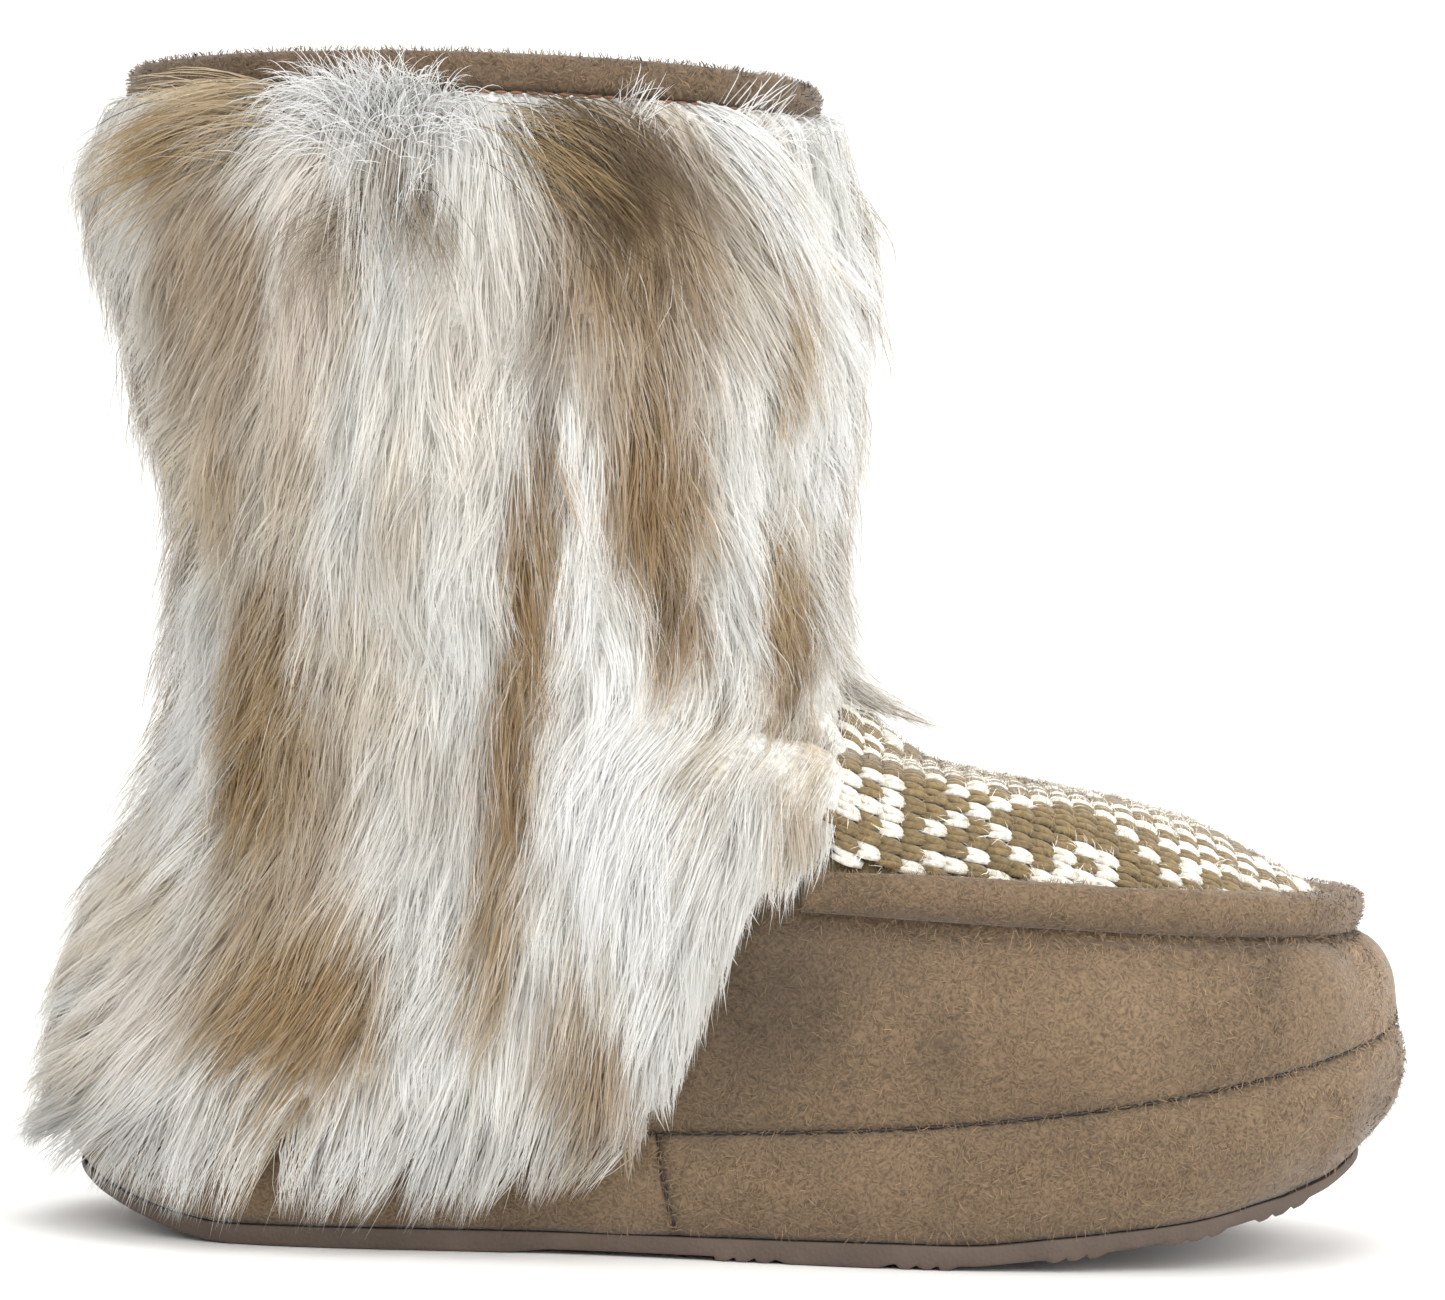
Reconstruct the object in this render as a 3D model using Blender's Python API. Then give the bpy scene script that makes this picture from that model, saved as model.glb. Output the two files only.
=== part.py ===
"""Slipper bootie for the right foot: a padded band sole, a suede vamp with a rolled seam round a knitted
toe panel, and a tall shaft of long fur with a brushed binding at the collar.

Metres. +X runs to the toe, +Z up, -Y to the outer side of the foot. The origin is on the floor under the
heel, inside the rear part of the heel's flat rest.
"""

import math
import random
from collections import namedtuple

import bmesh
import bpy
import numpy as np

# Foot: the upper's wall where it meets the band
FOOT_LENGTH = 0.2675
HEEL_REACH = 0.037
BALL_WIDTH = 0.100
TOE_SWING = 0.008
INSTEP_HEIGHT = 0.0955
WALL = 0.003

# Shaft: the wall under the fur
SHAFT_HEIGHT = 0.225
SHAFT_LENGTH = 0.1370
SHAFT_WIDTH = 0.104
SHAFT_BACK = -0.0315

# Band: the padded side wall between the rubber and the upper
BAND_HEEL_TOP = 0.023
BAND_TOE_TOP = 0.046
BAND_THICK = 0.0065
BAND_BULGE = 0.0030
BAND_JOIN_X = 0.080
BAND_JOIN_LEAN = 0.004

# Rubber sole
SOLE_THICK = 0.0042
SOLE_LIP = 0.0008
HEEL_CURL = 0.0125
TOE_SPRING = 0.0185
TREAD_DEPTH = 0.0008
RIB_LENGTH = 0.0040
RIBS_IN_GROUP = 3

# Footbed
FOOTBED_THICK = 0.0150
FOOTBED_DISH = 0.0020

# Rolled seam and knitted panel
ROLL_WIDTH = 0.0084
ROLL_HEIGHT = 0.0072
KNIT_THICK = 0.0022

# Fur
FUR_DEPTH = 0.0112
FUR_STEP = 0.0030
FUR_HEM_DROP = 0.0175
FUR_NOTCH = 0.0055
FUR_RAGGED = 0.0012
LOCK_ROWS = 10

# Depth at the hem and at the collar in shares of FUR_DEPTH. How far a lock's point and its undercut
# reach, in shares of a row of locks, and how deep the notches are above the vamp, in sections.
HEM_SHARE = 0.30
FUR_TOP_SHARE = 0.55
LOCK_POINT = 0.45
LOCK_UNDERCUT = 0.20
NOTCH_ROWS = 0.35

# Collar binding
BINDING_HEIGHT = 0.0075
BINDING_THICK = 0.0064

# Space between pieces that meet, and under the pieces that lie over the upper
GAP = 0.0004
OVERLAY_GAP = 0.0005

# Facets round the foot and shaft
COLUMNS = 40

# A section is a ring from the heel, or the back of the shaft, to the vamp, or the front of the shaft.
# Foot: back and front in shares of FOOT_LENGTH from the heel, low at the band (0) and high at
# INSTEP_HEIGHT (1), sag is how much the ring dips with the band's seam. The widths are the half-widths
# of the ellipse that the outline follows at each place, in shares of BALL_WIDTH.
FootSection = namedtuple("FootSection", "back back_rise front front_rise sag heel waist ball toe")
FOOT_SECTIONS = (
    FootSection(0.000, 0.000, 1.000, 0.000, 1.00, 0.60, 0.390, 0.525, 0.740),
    FootSection(0.002, 0.150, 0.997, 0.100, 0.80, 0.61, 0.400, 0.545, 0.760),
    FootSection(0.008, 0.315, 0.992, 0.210, 0.55, 0.61, 0.405, 0.550, 0.750),
    FootSection(0.021, 0.480, 0.981, 0.310, 0.30, 0.60, 0.405, 0.525, 0.710),
    FootSection(0.038, 0.645, 0.967, 0.370, 0.10, 0.58, 0.400, 0.485, 0.650),
    FootSection(0.058, 0.805, 0.954, 0.405, 0.00, 0.56, 0.400, 0.450, 0.600),
    FootSection(0.067, 0.895, 0.935, 0.470, 0.00, 0.55, 0.400, 0.430, 0.570),
    FootSection(0.075, 0.960, 0.907, 0.550, 0.00, 0.54, 0.405, 0.425, 0.550),
    FootSection(0.080, 1.020, 0.879, 0.630, 0.00, 0.53, 0.410, 0.420, 0.535),
    FootSection(0.084, 1.080, 0.845, 0.725, 0.00, 0.52, 0.415, 0.418, 0.515),
    FootSection(0.086, 1.140, 0.803, 0.800, 0.00, 0.51, 0.420, 0.418, 0.490),
    FootSection(0.087, 1.195, 0.748, 0.857, 0.00, 0.50, 0.425, 0.420, 0.465),
    FootSection(0.088, 1.250, 0.688, 0.912, 0.00, 0.49, 0.430, 0.430, 0.450),
    FootSection(0.088, 1.310, 0.627, 0.995, 0.00, 0.48, 0.435, 0.440, 0.450),
)

# Shaft: back and front in shares of SHAFT_LENGTH from the back of the collar, both heights in shares of
# the way from INSTEP_HEIGHT to SHAFT_HEIGHT, girth in shares of SHAFT_WIDTH.
ShaftSection = namedtuple("ShaftSection", "back back_rise front front_rise girth")
SHAFT_SECTIONS = (
    ShaftSection(0.142, 0.262, 1.050, 0.110, 0.455),
    ShaftSection(0.136, 0.335, 1.008, 0.215, 0.452),
    ShaftSection(0.112, 0.435, 1.004, 0.343, 0.460),
    ShaftSection(0.076, 0.560, 1.020, 0.498, 0.475),
    ShaftSection(0.032, 0.700, 1.037, 0.660, 0.490),
    ShaftSection(-0.004, 0.830, 1.041, 0.815, 0.503),
    ShaftSection(-0.011, 0.923, 1.025, 0.915, 0.508),
    ShaftSection(0.000, 1.000, 1.000, 1.000, 0.500),
)
WIDTH_PLACES = (0.0, 0.35, 0.68, 1.0)

# The roll lies on section ROLL_ROW. ROLL_REACH and PANEL_REACH are how many sections over it the fur's
# edge is where the roll and the panel end. PANEL_START is where the panel begins, in shares of the roll's
# width from its middle, and FUR_CLEAR_ROWS is what it leaves free before the fur, in sections.
ROLL_ROW = 5
ROLL_REACH = 1.3
PANEL_REACH = 2.2
PANEL_START = 0.55
PANEL_ROWS = 9
FUR_CLEAR_ROWS = 0.12

# How the band's seam climbs from heel to toe
SEAM_POWER = 3.6

# Bottom of the rubber: share of the sole's length from its heel end, lift in shares of HEEL_CURL,
# TREAD_DEPTH or TOE_SPRING
SoleStation = namedtuple("SoleStation", "along curl tread spring")
SOLE_LINE = (
    SoleStation(0.000, 0.84, 0.0, 0.0),
    SoleStation(0.022, 0.60, 0.0, 0.0),
    SoleStation(0.054, 0.34, 0.0, 0.0),
    SoleStation(0.085, 0.14, 0.0, 0.0),
    SoleStation(0.108, 0.04, 0.0, 0.0),
    SoleStation(0.125, 0.00, 0.0, 0.0),
    SoleStation(0.340, 0.00, 0.0, 0.0),
    SoleStation(0.370, 0.00, 1.0, 0.0),
    SoleStation(0.540, 0.00, 1.0, 0.0),
    SoleStation(0.548, 0.00, 0.0, 0.0),
    SoleStation(0.618, 0.00, 0.0, 0.0),
    SoleStation(0.626, 0.00, 1.0, 0.0),
    SoleStation(0.690, 0.00, 1.0, 0.0),
    SoleStation(0.740, 0.00, 1.0, 0.08),
    SoleStation(0.795, 0.00, 1.0, 0.19),
    SoleStation(0.860, 0.00, 1.0, 0.34),
    SoleStation(0.925, 0.00, 0.6, 0.58),
    SoleStation(0.965, 0.00, 0.2, 0.78),
    SoleStation(1.000, 0.00, 0.0, 1.00),
)
RIB_GROUPS = (0.518, 0.654, 0.765, 0.857, 0.925)

# Thickness of the rubber in shares of SOLE_THICK, from heel end to toe end
RUBBER_PLACES = (0.0, 0.1, 0.5, 0.72, 0.9, 1.0)
RUBBER_SHARES = (0.45, 0.85, 1.0, 1.1, 0.8, 0.45)

# How far the foot of the band tucks in under its seam, from heel to toe, in shares of BAND_THICK
TUCK_PLACES = (0.0, 0.15, 0.5, 0.8, 0.95, 1.0)
TUCK_SHARES = (0.10, 0.30, 0.42, 0.60, 1.00, 1.25)

# The band's closed section: height share, bulge in shares of BAND_BULGE, depth in shares of BAND_THICK
BandPoint = namedtuple("BandPoint", "height bulge inward")
BAND_PROFILE = (
    BandPoint(0.00, 0.00, 0.10),
    BandPoint(0.07, 0.40, 0.0),
    BandPoint(0.28, 0.90, 0.0),
    BandPoint(0.55, 1.00, 0.0),
    BandPoint(0.82, 0.65, 0.0),
    BandPoint(1.00, 0.00, 0.12),
    BandPoint(0.98, 0.00, 0.55),
    BandPoint(0.93, 0.00, 1.0),
    BandPoint(0.00, 0.00, 1.0),
)
BAND_SIDE_POINTS = 6

# Closed sections of the roll and the binding: across in shares of their width, out in shares of their
# height
SectionPoint = namedtuple("SectionPoint", "across out")
ROLL_PROFILE = (
    SectionPoint(-0.48, 0.00),
    SectionPoint(-0.50, 0.42),
    SectionPoint(-0.38, 0.80),
    SectionPoint(-0.12, 1.00),
    SectionPoint(0.16, 1.00),
    SectionPoint(0.40, 0.78),
    SectionPoint(0.50, 0.40),
    SectionPoint(0.47, 0.00),
    SectionPoint(0.16, 0.00),
    SectionPoint(-0.16, 0.00),
)
BINDING_PROFILE = (
    SectionPoint(-0.50, 0.15),
    SectionPoint(-0.50, 0.75),
    SectionPoint(-0.28, 1.00),
    SectionPoint(0.28, 1.00),
    SectionPoint(0.50, 0.75),
    SectionPoint(0.50, 0.15),
    SectionPoint(0.30, 0.00),
    SectionPoint(-0.30, 0.00),
)

# How far the fur's hem hangs down over the band, in shares of FUR_HEM_DROP, at shares of FOOT_LENGTH
HEM_PLACES = (0.00, 0.06, 0.14, 0.27, 0.36, 0.45)
HEM_SHARES = (0.45, 0.85, 1.00, 0.90, 0.62, 0.25)

# Where the fur ends on the vamp, seen from the side: height in shares of the way from the band's heel
# top to INSTEP_HEIGHT, place in shares of FOOT_LENGTH from the heel
FurEdge = namedtuple("FurEdge", "rise along")
FUR_EDGE = (
    FurEdge(0.00, 0.435),
    FurEdge(0.12, 0.460),
    FurEdge(0.32, 0.475),
    FurEdge(0.50, 0.500),
    FurEdge(0.66, 0.522),
    FurEdge(1.03, 0.600),
    FurEdge(1.30, 0.655),
)


def blend(p0, p1, p2, p3, part):
    """A smooth curve between p1 and p2, with p0 and p3 as their outer neighbours."""
    slope_1, slope_2 = (p2 - p0) / 2, (p3 - p1) / 2
    square, cube = part**2, part**3
    return (
        p1 * (2 * cube - 3 * square + 1)
        + slope_1 * (cube - 2 * square + part)
        + p2 * (3 * square - 2 * cube)
        + slope_2 * (cube - square)
    )


def neighbours(count, at):
    """Indices of the four values round a fractional index, and the part of the step in the middle."""
    at = np.clip(np.asarray(at, float), 0, count - 1)
    low = np.minimum(at.astype(int), count - 2)
    return (np.maximum(low - 1, 0), low, low + 1, np.minimum(low + 2, count - 1)), at - low


def cubic(rows, at):
    """Values of a table of rows at fractional row numbers, on a smooth curve through the rows."""
    rows = np.asarray(rows, float)
    picks, part = neighbours(len(rows), at)
    return blend(*(rows[pick] for pick in picks), part[..., None])


def between(places, values, at):
    """A smooth value at a place, where values are given at a few rising places."""
    return cubic(np.asarray(values, float)[:, None], np.interp(at, places, range(len(places))))[..., 0]


def seam_height(share):
    """Height of the seam over the band, at a share of the way from heel to toe."""
    return BAND_HEEL_TOP + (BAND_TOE_TOP - BAND_HEEL_TOP) * share**SEAM_POWER


def upper_rows():
    """The sections as real lengths: back x, back z, front x, front z, sag, swing and four half-widths."""
    rows = []
    for s in FOOT_SECTIONS:
        rows.append((
            s.back * FOOT_LENGTH - HEEL_REACH,
            BAND_HEEL_TOP + s.back_rise * (INSTEP_HEIGHT - BAND_HEEL_TOP),
            s.front * FOOT_LENGTH - HEEL_REACH,
            BAND_TOE_TOP + s.front_rise * (INSTEP_HEIGHT - BAND_TOE_TOP),
            s.sag,
            TOE_SWING * (1 - 0.5 * s.front_rise**2),
            *(share * BALL_WIDTH for share in (s.heel, s.waist, s.ball, s.toe)),
        ))
    for s in SHAFT_SECTIONS:
        rise = SHAFT_HEIGHT - INSTEP_HEIGHT
        rows.append((
            SHAFT_BACK + s.back * SHAFT_LENGTH,
            INSTEP_HEIGHT + s.back_rise * rise,
            SHAFT_BACK + s.front * SHAFT_LENGTH,
            INSTEP_HEIGHT + s.front_rise * rise,
            0.0,
            TOE_SWING * 0.4 * (1 - s.front_rise),
            *[s.girth * SHAFT_WIDTH] * 4,
        ))
    return np.array(rows)


UPPER_ROWS = upper_rows()
TOP_ROW = len(UPPER_ROWS) - 1


def skin(row, angle):
    """The upper's outer surface. row counts sections from the band up, angle 0 is the front, and
    angles up to pi are on the inner side of the foot."""
    row, angle = np.broadcast_arrays(np.asarray(row, float), np.asarray(angle, float))
    v = cubic(UPPER_ROWS, row)
    share = (1 + np.cos(angle)) / 2
    widths = v[..., 6:10]
    picks, part = neighbours(4, np.interp(share, WIDTH_PLACES, range(4)))
    half = blend(*(np.take_along_axis(widths, pick[..., None], -1)[..., 0] for pick in picks), part)
    middle = v[..., 5] * (share**3 - 0.3 * np.sin(math.pi * share))
    straight = BAND_HEEL_TOP + (BAND_TOE_TOP - BAND_HEEL_TOP) * share
    x = v[..., 0] + (v[..., 2] - v[..., 0]) * share
    z = v[..., 1] + (v[..., 3] - v[..., 1]) * share + v[..., 4] * (seam_height(share) - straight)
    return np.stack([x, middle + half * np.sin(angle), z], axis=-1)


def normal(row, angle):
    """Outward direction of the upper's surface."""
    row, angle = np.broadcast_arrays(np.asarray(row, float), np.asarray(angle, float))
    step = 0.02
    low, high = np.maximum(row - step, 0), np.minimum(row + step, TOP_ROW)
    up = skin(high, angle) - skin(low, angle)
    around = skin(row, angle + step) - skin(row, angle - step)
    out = np.cross(around, up)
    return out / np.linalg.norm(out, axis=-1, keepdims=True)


def over_skin(row, angle, offset):
    """A point at an offset out from the upper's surface."""
    return skin(row, angle) + normal(row, angle) * np.asarray(offset, float)[..., None]


def ring_angles():
    return np.linspace(0, 2 * math.pi, COLUMNS, endpoint=False)


def rows_by_length(bottom, top, angle, shares):
    """Rows at even steps of real length up the surface between two rows."""
    rows = np.linspace(bottom, top, 60)
    steps = np.linalg.norm(np.diff(skin(rows, np.full(len(rows), angle)), axis=0), axis=1)
    length = np.concatenate([[0], np.cumsum(steps)])
    return np.interp(np.asarray(shares) * length[-1], length, rows)


def row_length(row, angle):
    """How many metres one row spans up the surface, for turning real sizes into rows."""
    step = 0.25
    return np.linalg.norm(skin(row + step, angle) - skin(row - step, angle), axis=-1) / (2 * step)


def add_sheet(bm, loops, wrap):
    """Faces between rows of points; wrap joins each row's end to its start."""
    verts = [[bm.verts.new(tuple(map(float, p))) for p in loop] for loop in loops]
    count = len(verts[0])
    for low, high in zip(verts, verts[1:]):
        for i in range(count if wrap else count - 1):
            j = (i + 1) % count
            bm.faces.new((low[i], low[j], high[j], high[i]))
    return verts


def add_sweep(bm, sections, closed):
    """A solid through closed sections, joined round to the first one or capped at both ends."""
    verts = add_sheet(bm, sections, wrap=True)
    if closed:
        first, last, count = verts[0], verts[-1], len(verts[0])
        for i in range(count):
            j = (i + 1) % count
            bm.faces.new((last[i], last[j], first[j], first[i]))
        return
    bm.faces.new(tuple(reversed(verts[0])))
    bm.faces.new(tuple(verts[-1]))


def material(name, colour, roughness):
    made = bpy.data.materials.new(name)
    made.use_nodes = True
    shader = made.node_tree.nodes["Principled BSDF"]
    shader.inputs["Base Color"].default_value = (*colour, 1)
    shader.inputs["Roughness"].default_value = roughness
    shader.inputs["Metallic"].default_value = 0
    return made


def finish_object(name, bm, look):
    """Turns the working mesh into a named, smooth-shaded object."""
    bmesh.ops.recalc_face_normals(bm, faces=bm.faces)
    mesh = bpy.data.meshes.new(name)
    bm.to_mesh(mesh)
    bm.free()
    made = bpy.data.objects.new(name, mesh)
    bpy.context.scene.collection.objects.link(made)
    mesh.materials.append(look)
    mesh.shade_smooth()
    mesh.set_sharp_from_angle(angle=math.radians(40))
    return made


def solidify(obj, thickness):
    """Gives a sheet its thickness on its inner side."""
    shell = obj.modifiers.new("Wall", "SOLIDIFY")
    shell.thickness = thickness
    shell.offset = -1
    shell.use_rim = True
    return obj


def carve(obj, form):
    """Cuts an overlay to the form that it lies on."""
    cut = obj.modifiers.new("Carve", "BOOLEAN")
    cut.operation = "DIFFERENCE"
    cut.solver = "EXACT"
    cut.object = form
    return obj


def outline(angle, inset):
    """Plan of the band's seam, moved in by an inset: x and y."""
    on_seam = skin(0.0, angle)
    step = 0.02
    along = skin(0.0, angle + step) - skin(0.0, angle - step)
    across = np.stack([along[..., 1], -along[..., 0]], axis=-1)
    across /= np.linalg.norm(across, axis=-1, keepdims=True)
    return on_seam[..., :2] - across * np.asarray(inset, float)[..., None]


def tuck(angle):
    share = (1 + np.cos(angle)) / 2
    return BAND_THICK * between(TUCK_PLACES, TUCK_SHARES, share)


def sole_ends():
    """x of the rubber's heel end and toe end."""
    back = outline(np.array(math.pi), tuck(math.pi) - SOLE_LIP)[0]
    front = outline(np.array(0.0), tuck(0.0) - SOLE_LIP)[0]
    return back, front


SOLE_BACK, SOLE_FRONT = sole_ends()


def sole_share(x):
    return (np.asarray(x, float) - SOLE_BACK) / (SOLE_FRONT - SOLE_BACK)


def sole_base(x):
    """Height of the rubber's underside between the ribs."""
    lifts = [s.curl * HEEL_CURL + s.tread * TREAD_DEPTH + s.spring * TOE_SPRING for s in SOLE_LINE]
    return np.interp(sole_share(x), [s.along for s in SOLE_LINE], lifts)


def rib_stations():
    """x of each rib's foot, tip and heel, groups of saw teeth that run across the sole."""
    stations = []
    for place in RIB_GROUPS:
        middle = SOLE_BACK + place * (SOLE_FRONT - SOLE_BACK)
        start = middle - RIB_LENGTH * RIBS_IN_GROUP / 2
        for i in range(RIBS_IN_GROUP):
            x = start + i * RIB_LENGTH
            stations += [(x, 0.0), (x + 0.1 * RIB_LENGTH, 1.0), (x + 0.6 * RIB_LENGTH, 1.0)]
        stations.append((start + RIBS_IN_GROUP * RIB_LENGTH, 0.0))
    return stations


def sole_bottom(x):
    places, shares = zip(*rib_stations())
    return sole_base(x) - TREAD_DEPTH * np.interp(x, places, shares, left=0.0, right=0.0)


def sole_top(x):
    """Height of the rubber's upper side."""
    share = sole_share(x)
    places = [s.along for s in SOLE_LINE]
    curl = HEEL_CURL * np.interp(share, places, [s.curl for s in SOLE_LINE])
    spring = TOE_SPRING * between(places, [s.spring for s in SOLE_LINE], share)
    return curl + spring + SOLE_THICK * between(RUBBER_PLACES, RUBBER_SHARES, share)


def plank(bm, angles, low_inset, high_inset, low, high, dish):
    """A flat solid from heel to toe, with sections across it."""
    sections = []
    for angle in angles:
        sides = []
        for side in (-angle, angle):
            inset_low, inset_high = low_inset(side), high_inset(side)
            foot, brim = outline(np.array(side), inset_low), outline(np.array(side), inset_high)
            sides.append(((*foot, low(foot[0])), (*brim, high(brim[0]))))
        (foot_a, brim_a), (foot_b, brim_b) = sides
        mid_low, mid_high = np.mean((foot_a, foot_b), axis=0), np.mean((brim_a, brim_b), axis=0)
        mid_high[2] -= dish * abs(math.sin(angle))
        sections.append((foot_a, brim_a, mid_high, brim_b, foot_b, mid_low))
    add_sweep(bm, sections, closed=False)


def angle_at(x, inset):
    """The angle at which the outline with this inset passes x."""
    low, high = 0.0, math.pi
    for _ in range(40):
        middle = (low + high) / 2
        if outline(np.array(middle), inset(middle))[0] > x:
            low = middle
        else:
            high = middle
    return (low + high) / 2


def make_outsole(look):
    """Rubber with a heel curl, toe spring and groups of ribs across."""
    def inset(angle):
        return tuck(angle) - SOLE_LIP

    end = 0.10
    angles = set(np.linspace(math.pi - end, end, COLUMNS // 2))
    stations = [x for x, _ in rib_stations()]
    stations += [SOLE_BACK + s.along * (SOLE_FRONT - SOLE_BACK) for s in SOLE_LINE[1:-1]]
    angles |= {angle_at(x, inset) for x in stations}
    ordered = [a for a in sorted(angles, reverse=True) if end <= a <= math.pi - end]
    bm = bmesh.new()
    plank(bm, ordered, inset, inset, sole_bottom, sole_top, 0.0)
    return finish_object("outsole", bm, look)


def side_inset(angle, height, bulge):
    """Inset of the band's outer side at a share of its height."""
    return tuck(angle) * (1 - height) ** 2 - BAND_BULGE * bulge


def band_inner(angle, z):
    """Inset of the band's straight inner side at a height."""
    x = outline(np.array(angle), BAND_THICK)[0]
    low, high = sole_top(x), seam_height((1 + math.cos(angle)) / 2)
    share = np.clip((z - low) / (high - low) / BAND_PROFILE[-2].height, 0, 1)
    return BAND_THICK + tuck(angle) * (1 - share)


def make_insole(look):
    """Thick footbed inside the band, with a dished top."""
    def bottom(x):
        return sole_top(x) + GAP

    def top(x):
        return sole_top(x) + GAP + FOOTBED_THICK

    def low_inset(angle):
        return BAND_THICK + tuck(angle) + GAP

    def high_inset(angle):
        x = outline(np.array(angle), BAND_THICK + tuck(angle))[0]
        return band_inner(angle, top(x)) + GAP

    bm = bmesh.new()
    angles = ring_angles()[COLUMNS // 2 - 1:0:-1]
    plank(bm, angles, low_inset, high_inset, bottom, top, FOOTBED_DISH)
    return finish_object("insole", bm, look)


def band_section(angle, lean):
    """Closed section of the band at an angle. The join leans, so low points sit further forward."""
    points = []
    for p in BAND_PROFILE:
        a = angle + lean * (1 - p.height)
        inset = side_inset(a, p.height, p.bulge) + BAND_THICK * p.inward
        x, y = outline(np.array(a), inset)
        low, high = sole_top(x) + GAP, seam_height((1 + math.cos(a)) / 2)
        points.append((x, y, low + (high - low) * p.height))
    return points


def make_band_cover(name, look, front):
    """Half of the band: the toe half or the heel half, between the two upright joins."""
    join = angle_at(BAND_JOIN_X, lambda angle: 0.0)
    half_gap = GAP / FOOT_LENGTH
    slope = BAND_JOIN_LEAN / (FOOT_LENGTH / 2)
    if front:
        start, stop = -join + half_gap, join - half_gap
    else:
        start, stop = join + half_gap, 2 * math.pi - join - half_gap
    pitch = 2 * math.pi / COLUMNS
    whole = np.arange(math.ceil(start / pitch + 0.3), math.floor(stop / pitch - 0.3) + 1) * pitch
    angles = np.concatenate([[start], whole, [stop]])
    sections = []
    for angle in angles:
        share = max(math.cos(min(abs(angle - start), abs(angle - stop), math.pi / 2)), 0.0) ** 6
        to_front = -1 if math.sin(angle) > 0 else 1
        sections.append(band_section(angle, slope * share * to_front))
    bm = bmesh.new()
    add_sweep(bm, sections, closed=False)
    return finish_object(name, bm, look)


def make_form(look):
    """Solid form of upper and band with the gap added, a cutter for the pieces that lie over them."""
    angles = ring_angles()
    on_rubber = outline(angles, tuck(angles) - SOLE_LIP - OVERLAY_GAP)
    loops = [np.column_stack([on_rubber, np.full(COLUMNS, -FUR_DEPTH)])]
    for p in BAND_PROFILE[:BAND_SIDE_POINTS]:
        lip = SOLE_LIP if p.height == 0 else 0
        plan = outline(angles, side_inset(angles, p.height, p.bulge) - lip - OVERLAY_GAP)
        low, high = sole_top(plan[:, 0]), seam_height((1 + np.cos(angles)) / 2)
        loops.append(np.column_stack([plan, low + (high - low) * p.height]))
    loops += [over_skin(float(row), angles, np.full(COLUMNS, OVERLAY_GAP)) for row in range(1, TOP_ROW + 1)]
    loops.append(loops[-1] + (0, 0, BINDING_HEIGHT))
    loops[-1][:, 2] = SHAFT_HEIGHT + BINDING_HEIGHT
    bm = bmesh.new()
    add_sweep(bm, loops, closed=False)
    form = finish_object("cutter_form", bm, look)
    form.hide_render = True
    form.display_type = "WIRE"
    return form


def make_upper(look):
    """One hollow wall from the band to the collar, open at both."""
    angles = ring_angles()
    loops = [over_skin(float(row), angles, np.zeros(COLUMNS)) for row in range(TOP_ROW + 1)]
    loops[0] = loops[0] + (0, 0, GAP)
    bm = bmesh.new()
    add_sheet(bm, loops, wrap=True)
    return solidify(finish_object("upper", bm, look), WALL)


def fur_edge_row(angle):
    """The row at which the fur ends above the vamp, and 0 where it reaches the band."""
    rises = [BAND_HEEL_TOP + e.rise * (INSTEP_HEIGHT - BAND_HEEL_TOP) for e in FUR_EDGE]
    places = [e.along * FOOT_LENGTH - HEEL_REACH for e in FUR_EDGE]

    def ahead(row):
        x, _, z = skin(row, angle)
        return x > np.interp(z, rises, places)

    if not ahead(0.0):
        return 0.0
    low, high = 0.0, float(len(FOOT_SECTIONS) + 2)
    for _ in range(30):
        middle = (low + high) / 2
        if ahead(middle):
            low = middle
        else:
            high = middle
    return high


def angle_at_fur(row):
    """The angle at which the fur's edge comes down to a row."""
    low, high = 0.0, math.pi
    for _ in range(30):
        middle = (low + high) / 2
        if fur_edge_row(middle) > row:
            low = middle
        else:
            high = middle
    return high


def make_rolled_seam(look):
    """Raised roll round the toe, along the section that divides vamp and panel."""
    stop = angle_at_fur(ROLL_ROW + ROLL_REACH)
    sections = []
    for angle in np.linspace(-stop, stop, COLUMNS - 8):
        length = row_length(ROLL_ROW, angle)
        rows = np.array([ROLL_ROW + p.across * ROLL_WIDTH / length for p in ROLL_PROFILE])
        offsets = np.array([GAP + p.out * ROLL_HEIGHT for p in ROLL_PROFILE])
        sections.append(over_skin(rows, np.full(len(rows), angle), offsets))
    bm = bmesh.new()
    add_sweep(bm, sections, closed=False)
    return finish_object("rolled_seam", bm, look)


def make_knit_plug(look, form):
    """Knitted panel over the toes, from the roll's inner side back to the fur."""
    stop = angle_at_fur(ROLL_ROW + PANEL_REACH)
    columns = []
    for angle in np.linspace(-stop, stop, COLUMNS // 2 + 1):
        low = ROLL_ROW + (PANEL_START * ROLL_WIDTH + GAP) / row_length(ROLL_ROW, angle)
        rows = np.linspace(low, fur_edge_row(angle) - FUR_CLEAR_ROWS, PANEL_ROWS)
        columns.append(over_skin(rows, np.full(len(rows), angle), np.full(len(rows), GAP + KNIT_THICK)))
    bm = bmesh.new()
    add_sheet(bm, np.transpose(np.array(columns), (1, 0, 2)), wrap=False)
    return carve(solidify(finish_object("knit_plug", bm, look), KNIT_THICK + WALL / 2), form)


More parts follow.
